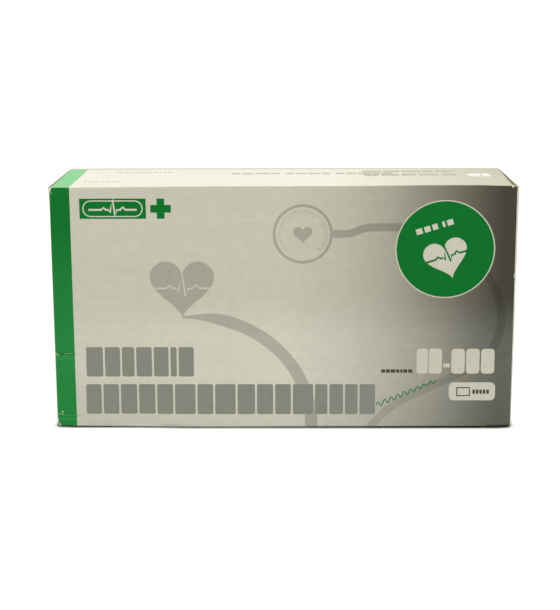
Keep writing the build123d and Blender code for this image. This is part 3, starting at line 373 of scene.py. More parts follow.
ink("tone", ribbon(softened([(22.6, 91), (31, 91), (37, 94), (46, 94), (60, 94)]), 3.6))
ink("ground", ribbon(placed(pulse, -46, 66, 9.5), 0.8))

# Title, small print and label, as plain blocks
title_shapes = ((8.4, 7.6, 6.2, 7.8, 7.4, 3.1, 7.6),
                (7.2, 7.3, 7.6, 7.6, 7.5, 9.6, 7.4, 9.6, 8.2, 7.6, 7.4, 9.5, 5.8, 6.4, 5.9, 7.3))
ink("title", *soft_blocks(-90.8, -41.2, 24.4, 38.4, title_shapes[0], 0.9, 0.9))
ink("title", *soft_blocks(-91.3, 42.4, 6.6, 20.8, title_shapes[1], 0.9, 0.9))
ink("pale", *soft_blocks(61.3, 72.9, 25.8, 37.6, (6, 7), 0.5, 1.2))
ink("pale", *blocks(73.6, 76.6, 28.8, 30.6, (1,)))
ink("pale", *soft_blocks(77.2, 97.0, 25.8, 37.6, (6, 6, 6), 0.6, 1.6))
ink("small", *blocks(45.1, 59.4, 26.2, 27.8, (1, 1, 1.2, 0.9, 0.6, 1, 1.1), 0.35))
stroke = [(43 + 27.2 * n / 60, 10.9 + 11.5 * n / 60 + 1.3 * sin(n * 0.95) * (1 - 0.4 * n / 60)) for n in range(61)]
ink("script", ribbon(stroke, 0.55))
ink("pale", rounded(76.3, 97.6, 13.2, 21.7, 2.3))
for x1, z1, x2, z2 in ((79.8, 15.4, 86.0, 15.4), (79.8, 19.2, 86.0, 19.2),
                       (80.0, 15.4, 80.0, 19.2), (85.8, 15.4, 85.8, 19.2)):
    ink("small", ribbon([(x1, z1), (x2, z2)], 0.5))
ink("small", *blocks(87.2, 94.8, 16.3, 18.3, (1, 1, 1, 1, 1), 0.4))

# Green block with a pulse in a pill, cross, and the round flash
ink("green", [(-91.7, 98.1), (-61.7, 98.1), (-61.7, 107.3), (-91.7, 107.3)])
ink("pale", *strip_between(rounded(-89.8, -63.6, 99.4, 106.0, 3.2), rounded(-90.3, -63.1, 98.9, 106.5, 3.7)))
ink("pale", ribbon(placed(pulse, -76.7, 102.2, 6.8), 0.9))
ink("green", [(-56.8, 98.1), (-53.3, 98.1), (-53.3, 100.9), (-50.4, 100.9), (-50.4, 104.4), (-53.3, 104.4),
              (-53.3, 107.3), (-56.8, 107.3), (-56.8, 104.4), (-59.7, 104.4), (-59.7, 100.9), (-56.8, 100.9)])
flash_x, flash_z, tilt = 73.4, 83.9, 17
ink("pale", oval(flash_x, flash_z, 22.5, points=120))
ink("green", oval(flash_x, flash_z, 22.0, points=120))
ink("pale", placed(heart, 74.3, 79.6, 10.6, tilt))
ink("green", ribbon(placed(pulse, 74.3, 80.6, 7.0, tilt), 0.95))
for left, right in ((-11.5, -8.6), (-7.6, -4.9), (-3.9, -1.4), (0.8, 2.0), (3.0, 5.8)):
    ink("pale", ribbon(placed([(left, 0), (right, 0)], 71.2, 95.0, 1, tilt), 2.6))

# Cracked print in the bruises and bare board at the corners
for path, thick in (([(-104.9, 35.6), (-104.2, 34.8), (-103.4, 34.3)], 0.5),
                    ([(-101.2, 34.8), (-99.6, 35.4), (-97.4, 35.4)], 0.22),
                    ([(-103.1, 7.4), (-102.0, 7.5)], 0.5), ([(-104.6, 6.2), (-103.0, 6.4), (-101.6, 5.6)], 0.36),
                    ([(-101.4, 5.5), (-99.6, 5.9), (-96.3, 5.6)], 0.16), ([(-104.7, 110.2), (-103.8, 109.4)], 0.24)):
    ink("cracked", ribbon(path, thick))
for chip in ([(-past, 109.8), (-104.5, 110.6), (-104.2, 112.0), (-103.2, 112.9), (-103.4, 113.4), (-past, 113.4)],
             [(102.4, 112.3), (103.0, 111.3), (103.9, 112.2), (103.8, 113.7), (102.6, 113.5)],
             [(past, -0.9), (102.9, -0.6), (103.4, 0.7), (104.6, 1.0), (past, 1.6)],
             [(-past, -0.9), (-104.2, -0.7), (-104.4, 1.2), (-past, 2.0)],
             [(past, 70.6), (104.75, 71.2), (104.7, 72.2), (past, 73.0)]):
    ink("bare", chip)

# The fold below the back is worn bare, and the fold at the front's foot is painted dark as the shadow where it meets
# the floor
ink("bare", [(-past, -1), (past, -1), (past, 0.35), (-past, 0.35)], panel=0)
ink("foot", [(-past, -0.6), (past, -0.6), (past, 1.1), (20, 0.9), (-40, 0.7), (-80, 0.75), (-past, 0.9)])

# The worn creases of the dust flaps show raw board along the ends of the top, darkened with painted shade of the gap at
# the closure;
# the right strip reaches further in. A strip of the bare ink runs along the back edge of the top.
for side, worn_to in ((-1, crease_x), (1, 103.5)):
    raw_and_shaded = ((worn_to, 2.0), (past, 1.6), (past, 58), (crease_x + 0.25, 57))
    rubbed = ((crease_x, 58), (past, 58), (past, depth), (crease_x, depth))
    for ink_name, outline in (("raw", raw_and_shaded), ("bare", rubbed)):
        ink(ink_name, [(side * x, v) for x, v in outline], panel=front_head)
bare_from, over = depth - 5.6, depth + 0.5
ink("bare", [(-crease_x, bare_from), (crease_x, bare_from), (crease_x, over), (-crease_x, over)], panel=front_head)

# Lines printed on the top, read from behind, in paler copies of the inks painted as brightly lit from above
for left, right, low, high, count in ((-81, -54, 50.5, 53.0, 12), (-92, -74.5, 16.5, 19.0, 7), (-25, -2, 44.5, 49.0, 4),
                                      (1.5, 22, 44.5, 49.0, 4), (25, 52, 44.5, 49.5, 5)):
    widths = [1 + 0.3 * ((7 * n) % 3) for n in range(count)]
    ink("top small", *blocks(left, right, low, high, widths, 0.8), panel=front_head)
ink("top title", *blocks(38, 82, 51.0, 57.0, (7, 6, 7, 4, 7), 1.0), panel=front_head)
ink("top title", *blocks(38, 82, 37.0, 45.0, (6, 7, 6, 8, 6), 1.0), panel=front_head)
ink("top pale", *blocks(87, 97.5, 33.0, 45.0, (5, 3), 0.9), panel=front_head)

# The back carries the block, the title and a column of small print
ink("green", [(-92.5, 5.0), (-62.4, 5.0), (-62.4, 14.4), (-92.5, 14.4)], panel=top_back)
ink("pale", ribbon(placed(pulse, -77.4, 9.7, 7.5), 0.9), panel=top_back)
ink("title", *blocks(-91.6, -41.5, 20.0, 28.0, title_shapes[0], 0.8), panel=top_back)
ink("title", *blocks(-38, 60, 20.0, 28.0, title_shapes[1], 0.8), panel=top_back)
draw = Random(4)
for row in range(12):
    low = 36 + 4.6 * row
    for left, right in ((-91.6, -35), (-28, 30)):
        end = right - (draw.random() * 24 if row % 4 == 3 else draw.random() * 4)
        words = [draw.uniform(2, 7) for _ in range(int((end - left) / 5.2))]
        ink("small", *blocks(left, end, low, low + 1.4, words, 0.9), panel=top_back)
ink("pale", rounded(40, 95, 36, 88, 3), panel=top_back)
ink("tone", placed(heart, 67.5, 61, -17), panel=top_back)


def linear(red, green, blue):
    """A colour given in the 0 to 255 of a screen, as linear light."""
    return tuple(((c / 255 + 0.055) / 1.055) ** 2.4 if c > 10 else c / 255 / 12.92 for c in (red, green, blue))


def ramp(value, *stops):
    """Colours along a value, each stop a place with the red, green and blue of a screen."""
    made = add(value, "ShaderNodeValToRGB", {"Fac": value})
    scale = made.color_ramp.elements
    while len(scale) > 1:
        scale.remove(scale[-1])
    scale[0].position = stops[0][0]
    for place, *colour in stops:
        element = scale[0] if place == stops[0][0] else scale.new(place)
        element.color = (*linear(*colour), 1)
    return made.outputs[0]


def spread(value, low, high, to_low=0.0, to_high=1.0, smooth=False):
    """A value moved from one range to another, kept inside it."""
    ranges = {"Value": value, "From Min": low, "From Max": high, "To Min": to_low, "To Max": to_high}
    return add(value, "ShaderNodeMapRange", ranges, interpolation_type="SMOOTHSTEP" if smooth else "LINEAR").outputs[0]


def mix(share, first, second, blend="MIX"):
    """Two colours mixed; each is a linear triple or an output."""
    near = first_socket(share, first, second)
    made = add(near, "ShaderNodeMix", {"Factor": share}, data_type="RGBA", blend_type=blend)
    for socket, colour in ((made.inputs["A"], first), (made.inputs["B"], second)):
        if isinstance(colour, bpy.types.NodeSocket):
            near.id_data.links.new(colour, socket)
        else:
            socket.default_value = (*colour, 1)
    return made.outputs["Result"]


def noisy(place, scale, detail=3.0, rough=0.5):
    """Fine noise over the object's own coordinates."""
    settings = {"Vector": place, "Scale": scale, "Detail": detail, "Roughness": rough}
    return add(place, "ShaderNodeTexNoise", settings).outputs[0]


def grey_times(colour, share):
    """A colour times a number that varies over the surface."""
    return mix(1.0, colour, share, "MULTIPLY")


def finish(name, rough, bump=None, **settings):
    """A material with its shader's plain numbers set, and the object's coordinates to work from."""
    made = bpy.data.materials.new(name)
    made.use_nodes = True
    shader = made.node_tree.nodes["Principled BSDF"]
    shader.inputs["Roughness"].default_value = rough
    for socket, value in settings.items():
        shader.inputs[socket.replace("_", " ")].default_value = value
    return made, shader, add(shader, "ShaderNodeTexCoord").outputs["Object"]


def feed(shader, **sockets):
    """Join outputs to a shader's inputs."""
    for name, value in sockets.items():
        shader.id_data.links.new(value, shader.inputs[name.replace("_", " ")])


def bumped(shader, value, height, strength=1.0):
    """Relief of some height in metres from a value of 0 to 1."""
    relief = {"Height": value, "Strength": strength, "Distance": height}
    feed(shader, Normal=add(shader, "ShaderNodeBump", relief).outputs[0])


def coat(name, colour, rough=0.4, rubbed=True):
    """Board printed in a colour and varnished, rubbed down to pale fibres where it is worn."""
    made, shader, place = finish(name, rough, Specular_IOR_Level=0.07)
    inked = colour(place) if callable(colour) else linear(*colour)
    mottle = noisy(place, 260.0, 4.0)
    inked = grey_times(inked, spread(mottle, 0.3, 0.7, 0.97, 1.03))
    if rubbed:
        worn = add(shader, "ShaderNodeAttribute", attribute_name="wear").outputs["Fac"]
        patches = maths("ADD", noisy(place, 700.0, 5.0, 0.65), 0.42)
        amount = spread(maths("MULTIPLY", worn, patches), 0.5, 0.78, 0.0, 0.75)
        inked = mix(amount, inked, linear(214, 210, 192))
    feed(shader, Base_Color=inked, Roughness=spread(mottle, 0.2, 0.8, rough - 0.05, rough + 0.08))
    bumped(shader, noisy(place, 2400.0, 3.0), 0.00004, 0.12)
    return made


def along_axis(place, axis, low, high, *to):
    """A share of the way along one axis, between two places in metres."""
    return spread(add(place, "ShaderNodeSeparateXYZ", {"Vector": place}).outputs[axis], low, high, *to)


def along_x(place):
    """0 at the carton's left end, 1 at its right end."""
    return along_axis(place, "X", -0.105, 0.105)


def up_z(place):
    """0 at the foot, 1 at the top."""
    return along_axis(place, "Z", 0.0, 0.1124)


def brushed_ground(place):
    """Warm silver grey that darkens towards the right, most of all near the top, with fine level streaks."""
    across, raised = along_x(place), up_z(place)
    high = ramp(across, (0.0, 195, 192, 174), (0.5, 197, 194, 176), (0.63, 187, 184, 166), (0.72, 169, 166, 149),
                (0.83, 131, 128, 114), (0.91, 97, 94, 82), (0.97, 68, 66, 54), (1.0, 66, 64, 52))
    low = ramp(across, (0.0, 200, 199, 181), (0.5, 209, 208, 190), (0.63, 198, 197, 180), (0.72, 181, 180, 166),
               (0.83, 152, 151, 138), (0.91, 119, 119, 108), (0.97, 98, 99, 90), (1.0, 101, 101, 92))
    ground = mix(spread(raised, 0.34, 0.58, smooth=True), low, high)
    foot = spread(raised, 0.0, 0.25, 0.9, 1.0, True)
    stretched = add(place, "ShaderNodeMapping", {"Vector": place, "Scale": (9.0, 9.0, 1500.0)}).outputs[0]
    streaks = spread(noisy(stretched, 1.0, 3.0), 0.3, 0.7, 0.975, 1.025)
    return grey_times(ground, maths("MULTIPLY", foot, streaks))


def deepened(share):
    """The ground, printed over with a tone that keeps a share of its light."""
    def colour(place):
        return mix(1.0, brushed_ground(place), (share, share, share * 0.985), "MULTIPLY")
    return colour


def deep_green(place):
    """Green ink, darker towards the top of the front."""
    return ramp(up_z(place), (0.0, 34, 128, 58), (0.3, 36, 131, 60), (0.6, 26, 120, 50), (0.85, 8, 107, 38),
                (1.0, 8, 107, 38))


def cream_top(place):
    """The top's ground: the front's silver grey print painted as brightly lit from above, so a pale cream, greyer
    towards the right and the back.
    """
    back = along_axis(place, "Y", 0.005, 0.034, 1.0, 0.95)
    cream = ramp(along_x(place), (0.0, 250, 246, 227), (0.6, 250, 246, 227), (0.75, 236, 231, 207),
                 (0.9, 217, 213, 187), (1.0, 205, 201, 174))
    return grey_times(cream, back)


def dusty_foot(place):
    """The foot fold, painted dark as the contact shadow at the floor, and nearly black near both ends."""
    return ramp(along_x(place), (0.0, 40, 35, 28), (0.1, 70, 63, 52), (0.2, 128, 120, 104),
                (0.45, 104, 98, 84), (0.8, 34, 31, 25), (1.0, 26, 24, 19))


def grey_board(place):
    """Recycled board: flecks and short fibres."""
    flecks = noisy(place, 1400.0, 6.0, 0.7)
    return ramp(flecks, (0.3, 158, 149, 128), (0.5, 190, 181, 160), (0.72, 212, 204, 184))


coats = {key: coat(*recipe) for key, recipe in {
    "ground": ("silver grey print", brushed_ground),
    "band": ("green band print", deep_green, 0.34),
    "tone": ("picture print", deepened(0.66)),
    "soft tone": ("soft picture print", deepened(0.8)),
    "title": ("title print", (134, 134, 123)),
    "pale": ("pale print", (201, 198, 181)),
    "small": ("small print", (74, 72, 62)),
    "script": ("script print", (42, 118, 62)),
    "green": ("green print", (5, 108, 38), 0.34),
    "cracked": ("cracked print", (160, 198, 150), 0.6),
    "bare": ("scuffed board", (222, 218, 199), 0.8),
    "raw": ("raw board edge with painted shade", (150, 138, 108), 0.85),
    "foot": ("foot fold painted shadow", dusty_foot, 0.7),
    # The top's inks are the front's inks painted as brightly lit from above, as paler copies.
    "top ground": ("cream print painted lit", cream_top),
    "top band": ("green print painted lit", (124, 214, 134), 0.34),
    "top small": ("small print painted lit", (190, 187, 168)),
    "top title": ("title print painted lit", (192, 189, 168)),
    "top pale": ("pale print painted lit", (250, 249, 240)),
    "end ground": ("end print", (226, 223, 207)),
    "paper": ("leaflet paper", (232, 231, 224), 0.7, False),
    "board": ("grey board inside", grey_board, 0.85, False),
    "edge": ("cut board edge", (160, 147, 116), 0.9, False),
}.items()}


def covers(outline, x, s):
    """Whether a point lies inside an outline."""
    inside = False
    for n, (x_here, s_here) in enumerate(outline):
        x_before, s_before = outline[n - 1]
        if (s_here > s) != (s_before > s) and x < (x_before - x_here) * (s - s_here) / (s_before - s_here) + x_here:
            inside = not inside
    return inside


def cut_sheet(name, net, inked, place, ground, border, wear=None, mirrored=False, thick=board,
              inside="board", rim="edge"):
    """A printed sheet. It is cut into triangles along every outline, each takes the ink of the last
    outline that covers it, and it is set in place and given the board's thickness behind its face.
    The ground is an ink, or a function that gives one for a point."""
    low_x, high_x = min(p[0] for p in border), max(p[0] for p in border)
    low_s, high_s = min(p[1] for p in border), max(p[1] for p in border)
    spots = [Vector(p) for p in net if low_x <= p[0] <= high_x and low_s <= p[1] <= high_s]
    levels = sorted({round(s, 3) for _, s in net})
    cuts, outlines = [], []
    for ink_name, outline in [("border", border)] + inked:
        clipped = [(min(high_x, max(low_x, x)), min(high_s, max(low_s, s))) for x, s in outline]
        followed = []
        for (x, s), (x_on, s_on) in zip(clipped, clipped[1:] + clipped[:1]):
            followed.append((x, s))
            between = [v for v in levels if min(s, s_on) + 0.05 < v < max(s, s_on) - 0.05]
            if s_on < s:
                between.reverse()
            followed += [(x + (x_on - x) * (v - s) / (s_on - s), v) for v in between]
        count = len(followed)
        cuts += [(len(spots) + n, len(spots) + (n + 1) % count) for n in range(count)]
        spots += [Vector(p) for p in followed]
        outlines.append((ink_name, clipped))
    verts, _, triangles, _, _, _ = delaunay_2d_cdt(spots, cuts, [], 0, 1e-4)
    cells = {}
    for n, corners in enumerate(triangles):
        x, s = sum((verts[i] for i in corners), Vector((0, 0))) / 3
        cells.setdefault((x // 5, s // 5), []).append((n, x, s))
    printed = ["away"] * len(triangles)
    for ink_name, outline in outlines:
        left, right = min(p[0] for p in outline) // 5, max(p[0] for p in outline) // 5
        low, high = min(p[1] for p in outline) // 5, max(p[1] for p in outline) // 5
        for column in range(int(left), int(right) + 1):
            for line in range(int(low), int(high) + 1):
                for n, x, s in cells.get((column, line), ()):
                    if covers(outline, x, s):
                        plain = ground(x, s) if callable(ground) else ground
                        printed[n] = plain if ink_name == "border" else ink_name
    for n, corners in enumerate(triangles):
        # Where the band crosses the top it takes the green painted as brightly lit from above.
        if printed[n] == "band" and front_head < sum(verts[i].y for i in corners) / 3 < top_back:
            printed[n] = "top band"
    used = sorted(set(printed) - {"away"})
    sheet = bmesh.new()
    worn = sheet.verts.layers.float.new("wear")
    made = []
    for spot in verts:
        vert = sheet.verts.new(place(spot.x, spot.y))
        vert[worn] = wear(spot.x, spot.y) if wear else 0.0
        made.append(vert)
    for corners, ink_name in zip(triangles, printed):
        if ink_name != "away":
            face = sheet.faces.new([made[i] for i in (reversed(corners) if mirrored else corners)])
            face.material_index = used.index(ink_name)
            face.smooth = True
    bmesh.ops.delete(sheet, geom=[v for v in sheet.verts if not v.link_faces], context="VERTS")
    bmesh.ops.remove_doubles(sheet, verts=sheet.verts, dist=2e-6)
    piece = set_out(name, finished_mesh(name, sheet, *[coats[ink_name] for ink_name in used + [inside, rim]]))
    wall = piece.modifiers.new("thickness", "SOLIDIFY")
    wall.thickness = thick * mm
    wall.offset = -1
    wall.use_rim = True
    wall.material_offset = len(used)
    wall.material_offset_rim = len(used) + 1
    return piece


def sleeve_wear(x, s):
    """Where the print is rubbed: along folds, at the ends and over the bruises. At the ends the pale rubbing is partly
    a painted highlight on the rolled edge.
    """
    z = s - front_foot
    close = min(abs(s - f) for f in fold_lines)
    rubbed = max(0, 1 - close / 1.0) * 0.72 + max(0, 1 - (half_width - abs(x)) / 1.2) * 0.5
    for place, _ in bruises:
        if x < band_edge + 2:
            rubbed = max(rubbed, 0.55 * max(0, 1 - abs(z - place) / 1.4))
    return min(1, rubbed)


xs = [-sheet_end, -104.9, -104.6, -crease_x, -103.6, -102.6, -101.5, -100.3, -99, -97.9, -96.3, -94, -91, -87.5]
xs += [-84 + 4.2 * n for n in range(41)] + [88.5, 92.5, 96, 99, 101.5, 103.4, crease_x, 104.6, 104.9, sheet_end]
close_rows, flat_starts = (0, 0.2, 0.4, 0.6, 1.1, 2.2, 4.2, 7), 7
rows = {round(f + side * away, 3) for f in fold_lines for away in close_rows for side in (1, -1)}
for here, on in zip(fold_lines, fold_lines[1:]):
    flat = on - here - 2 * flat_starts
    rows |= {round(s, 3) for s in steps(here + flat_starts, flat, ceil(flat / 4.5))}
net = crossed(xs, [s for s in sorted(rows) if 0 <= s <= girth])
net += [(x, front_foot + place - 3.5 + 0.5 * n) for x in xs[:13] for place, _ in bruises for n in range(13)]
near, far = fold + 0.02, fold + 0.25
slit = ((crease_x, near), (past, near), (past, far), (crease_x, far))
slits = [("away", [(side * x, line + way * v) for x, v in slit])
         for side in (-1, 1) for line, way in ((0, 1), (front_foot, -1), (front_head, 1), (top_back, -1))]
border = [(-sheet_end, 0), (sheet_end, 0), (sheet_end, girth), (-sheet_end, girth)]


def sleeve_ground(x, s):
    """The ink of the sleeve's plain ground."""
    return "top ground" if front_head < s < top_back else "ground"


sleeve = cut_sheet("sleeve", net, prints + slits, on_sheet, sleeve_ground, border, sleeve_wear)
declare(sleeve, "carton", "printed_board", "carton_sleeve")


# The seam flap: a plain strip of grey board with softened edges, glued inside the back's foot.
flap_low, flap_high = (-104.6, half_depth - 2 * board - 0.02, 0.55), (104.6, half_depth - board - 0.02, 14.4)
strip = bmesh.new()
bmesh.ops.create_cube(strip, size=1)
for vert in strip.verts:
    vert.co = Vector([(low + high) / 2 + at * (high - low) for low, high, at in zip(flap_low, flap_high, vert.co)]) * mm
bmesh.ops.bevel(strip, geom=strip.edges[:], offset=0.12 * mm, segments=2, affect="EDGES")
declare(set_out("glue_flap", finished_mesh("glue_flap", strip, coats["board"])), "carton", "printed_board")

# The closures: at each end a panel that opens about the back edge, with a tuck flap along its free
# edge, and two dust flaps. They are the same board, printed outside, with cut edges left grey.
tuck_y = -31.8
tuck_length, tuck_trim = 14.0, 2.0
round_end = board * pi / 2
panel_low, panel_high = 0.4, height - 0.4
hinge_turn = half_depth - board


def end_point(side):
    """Places a point (y, z) of an end panel; both its upright edges are rolled over, and towards its
    free top corner it stands a little open."""
    def place(u, v):
        lean = 0.1 + 0.7 * v / height if side > 0 else 0.05 + 0.45 * ease(height - 7, height, v)
        ajar = lean * max(0, min(1, (hinge_turn - u) / (hinge_turn - tuck_y)))
        bend = 0.1 * (1 + noise.noise(Vector((u / 17, v / 21, side * 5.3))))
        if u < tuck_y:
            turn = min((tuck_y - u) / board, pi / 2)
            return Vector((side * (half_width + (board + ajar) * cos(turn)), tuck_y - board * sin(turn), v)) * mm
        if u > hinge_turn:
            turn = min((u - hinge_turn) / board, pi / 2)
            return Vector((side * (half_width + board * cos(turn)), hinge_turn + board * sin(turn), v)) * mm
        flat = ease(tuck_y, tuck_y + 6, u) * ease(hinge_turn, hinge_turn - 6, u)
        return Vector((side * (half_width + board + ajar - bend * flat), u, v)) * mm
    return place


def from_edge_line(x, s, x1, s1, x2, s2):
    """How far a point lies from an edge, or from its first end where it lies beyond the edge."""
    beside = (x - x1) * (x2 - x1) + (s - s1) * (s2 - s1) > 0 and (x - x2) * (x1 - x2) + (s - s2) * (s1 - s2) > 0
    if not beside:
        return hypot(x - x1, s - s1)
    return abs((x2 - x1) * (s1 - s) - (x1 - x) * (s2 - s1)) / max(1e-6, hypot(x2 - x1, s2 - s1))


def edge_wear(outline, reach=1.0):
    """How much the print is rubbed near an outline's edge."""
    edges = list(zip(outline, outline[1:] + outline[:1]))

    def wear(x, s):
        return 0.8 * max(0, 1 - min(from_edge_line(x, s, *here, *on) for here, on in edges) / reach)
    return wear


def closing_board(name, node, side, grid, inked, place, border):
    """One board of a closure, printed outside and riding on its own body."""
    piece = cut_sheet(name, grid, inked, place, "end ground", border, edge_wear(border), side < 0, 0.48)
    declare(piece, name.replace("_closure", ""), "plain_board", node)


def end_panel(side_name, side):
    """The panel that closes an end, with plain printing outside."""
    front, back = tuck_y - round_end, hinge_turn + round_end
    border = [(front, panel_low + 1.0), (tuck_y, panel_low), (hinge_turn - 1.0, panel_low), (back, panel_low + 1.3),
              (back, panel_high - 1.3), (hinge_turn - 1.0, panel_high), (tuck_y, panel_high), (front, panel_high - 1.0)]
    marks = [("green", rounded(-15.0, 15.0, 92, 101.4, 0.2)), ("pale", ribbon(placed(pulse, 0, 96.7, 7.5), 0.9))]
    # The end's title blocks take the title ink painted as brightly lit.
    marks += [("top title", b) for b in blocks(-24, 24, 80, 86, title_shapes[0], 0.8)]
    marks += [("top title", b) for b in blocks(-27, 27, 70, 76, title_shapes[1], 0.6)]
    for row in range(3):
        fall = 4.4 * row
        marks += [("small", b) for b in blocks(-24, 10 + 5 * row, 24 - fall, 25.4 - fall, (5, 3, 6, 4, 7, 3, 5), 0.9)]
    marks += [("title", b) for b in ring_strip(0, 50, 11, 0.7, 48) + [placed(heart, 0, 49.4, 5.4)]]
    inked = [(ink_name, [(side * x, z) for x, z in outline]) for ink_name, outline in marks]
    chip = ((-1, -3.2), (0.3, -2.6), (0.9, 1), (-1, 1))
    inked += [("bare", [(tuck_y + y, panel_high + z) for y, z in chip])]
    tall = panel_high - panel_low
    grid = crossed(steps(tuck_y, -round_end, 3), steps(panel_low + 1, tall - 2, 24))
    grid += crossed(steps(hinge_turn, round_end, 3), steps(panel_low + 1.3, tall - 2.6, 24))
    grid += crossed(steps(tuck_y, hinge_turn - tuck_y, 14), steps(panel_low, tall, 24))
    closing_board(side_name + "_end_closure", side_name + "_end_panel", side, grid, inked, end_point(side), border)


def tuck_flap(side_name, side):
    """The flap along the panel's free edge, which tucks in behind the front."""
    low, high = tuck_trim, height - tuck_trim
    inner, corner = half_width - tuck_length, 9
    border = [(half_width, low), (half_width, high)]
    border += oval(inner + corner, high - corner, corner, points=10, start=90, sweep=90)
    border += oval(inner + corner, low + corner, corner, points=10, start=180, sweep=90)

    def place(u, v):
        curl = 0.5 * ease(half_width - 2, inner, u) ** 2 + 0.08 * noise.noise(Vector((u / 7, v / 15, side)))
        return Vector((side * u, tuck_y - board + max(0, curl), v)) * mm

    levels = steps(low, high - low, 22)
    grid = [p for p in crossed(steps(inner, tuck_length, 7), levels) if covers(border, *p)]
    grid += crossed([half_width], levels[1:-1])
    closing_board(side_name + "_tuck", side_name + "_tuck_flap", side, grid, [], place, border)


def dust_flap(side_name, side, level, crease_z, inward):
    """A flap of the top or bottom that closes behind the panel."""
    front_y, back_y, long, corner = tuck_y + 0.6, half_depth - 1.5, 42.0, 5
    near_free = crease_z + inward * long - inward * corner
    border = [(front_y, crease_z)] + oval(front_y + 8.3, near_free, corner, inward * corner, 8, 180, -90)
    border += oval(back_y - 0.6 * long + 2.2, near_free, corner, inward * corner, 8, 90, -58) + [(back_y, crease_z)]

    def place(u, v):
        wander = 1 + noise.noise(Vector((u / 15, v / 15, side * 2.1 + inward)))
        bend = 0.12 * ease(2, 12, abs(v - crease_z)) * wander
        return Vector((side * (crease_x + board - bend), u, v)) * mm

    columns = steps(front_y, back_y - front_y, 13)
    grid = [p for p in crossed(columns, steps(crease_z, inward * long, 9)) if covers(border, *p)]
    grid += crossed(columns[1:-1], [crease_z])
    name = side_name + "_" + level + "_dust"
    closing_board(name, name + "_flap", side, grid, [], place, border)


for side_name, side in (("left", -1), ("right", 1)):
    end_panel(side_name, side)
    tuck_flap(side_name, side)
    dust_flap(side_name, side, "top", height - board, -1)
    dust_flap(side_name, side, "bottom", board, 1)


# The leaflet: thin paper in three layers behind the cuff, printed with plain rows on its outer leaves.
def folded(s, first_y, pitch, low, high, layers):
    """Along a sheet folded to and fro, from the back layer's foot: y, z and the way square to it."""
    run, turn = high - low, pi * pitch / 2
    for layer in range(layers):
        rising = 1.0 if layer % 2 == 0 else -1.0
        y = first_y - pitch * layer
        if s <= run or layer == layers - 1:
            return y, low + s if rising > 0 else high - s, rising, 0.0
        s -= run
        if s <= turn:
            a = s / turn * pi
            crown = (high if rising > 0 else low) + rising * pitch / 2 * sin(a)
            return y - pitch / 2 + pitch / 2 * cos(a), crown, rising * cos(a), sin(a)
        s -= turn


leaf_left, leaf_right, leaf_high = -46, 104, 100
leaf_turn = 0.4712
leaf_fold = (32.4, 0.3, 1.05, 101.05, 3)
leaf_length = 3 * leaf_high + 2 * pi * 0.15


def leaf_point(x, s):
    """A point of the leaflet's printed side."""
    y, z, way_y, way_z = folded(s, *leaf_fold)
    return Vector((x, y + 0.1 * way_y, z + 0.1 * way_z)) * mm


draw = Random(11)
leaf_prints = [("title", b) for b in blocks(-38, 30, 84, 90, title_shapes[0], 0.9)]
for row in range(14):
    fall, end = 4.8 * row, 96 - draw.random() * 14
    words = [draw.uniform(2, 8) for _ in range(17)]
    leaf_prints += [("small", b) for b in blocks(-38, end, 74 - fall, 75.3 - fall, words, 1.0)]
levels = sorted(steps(0, leaf_high, 5) + steps(100.47, leaf_high, 5) + steps(200.94, leaf_high, 5)
                + steps(leaf_high, leaf_turn, 6) + steps(2 * leaf_high + leaf_turn, leaf_turn, 6))
border = [(leaf_left, 0), (leaf_right, 0), (leaf_right, leaf_length), (leaf_left, leaf_length)]
leaf_net = crossed(range(leaf_left, leaf_right + 1, 30), levels)
leaflet = cut_sheet("leaflet", leaf_net, leaf_prints, leaf_point, "paper", border, None, True, 0.17, "paper", "paper")
declare(leaflet, "carton", "leaflet_paper", "instruction_leaflet")


def mesh_piece(name, verts, faces, material, slot, *nodes):
    """A closed smooth mesh made of points in metres, riding on the carton, with one finish."""
    mesh = bpy.data.meshes.new(name)
    mesh.from_pydata(verts, [], faces)
    tidy = bmesh.new()
    tidy.from_mesh(mesh)
    bmesh.ops.recalc_face_normals(tidy, faces=tidy.faces)
    tidy.to_mesh(mesh)
    tidy.free()
    mesh.polygons.foreach_set("use_smooth", [True] * len(mesh.polygons))
    mesh.materials.append(material)
    piece = set_out(name, mesh)
    declare(piece, "carton", slot, *nodes)
    return piece


def ring_faces(rows, count, closed=False):
    """Four-sided faces between rows of points, each row a closed ring."""
    faces = []
    for row in range(rows if closed else rows - 1):
        here, on = row * count, (row + 1) % rows * count
        faces += [(here + n, here + (n + 1) % count, on + (n + 1) % count, on + n) for n in range(count)]
    return faces


# The cuff: two layers of dark nylon sewn round a pocket, folded to and fro in five flat layers, with a
# bound hem. The bladder lies in the pocket, and its two ports come out of the cuff's left side.
def woven(name, colour, threads, rough=0.75):
    """Plain weave: threads over and under, a little uneven, with a soft sheen."""
    made, shader, place = finish(name, rough, Sheen_Weight=0.35, Sheen_Roughness=0.45, Specular_IOR_Level=0.3)
    settings = {"Vector": place, "Scale": threads, "Distortion": 0.6, "Detail": 1.0}
    warp, weft = (add(place, "ShaderNodeTexWave", settings, bands_direction=way).outputs["Fac"] for way in ("X", "Z"))
    weave = maths("MULTIPLY", warp, weft)
    faded = maths("MULTIPLY", noisy(place, 90.0), 0.5)
    shade = spread(maths("ADD", weave, faded), 0.1, 1.2, 0.72, 1.2)
    feed(shader, Base_Color=grey_times(linear(*colour), shade))
    bumped(shader, weave, 0.00012, 0.6)
    return made


nylon = woven("cuff nylon", (44, 54, 78), 420.0)
cuff_low, cuff_high, layer_pitch = 4.35, 108.05, 3.7
cuff_fold = (29.7, layer_pitch, cuff_low, cuff_high, 5)
cuff_left, cuff_right = -36.0, 104.0
cuff_length = 5 * (cuff_high - cuff_low) + 4 * pi * 1.85
last_layer = cuff_length - 103.7


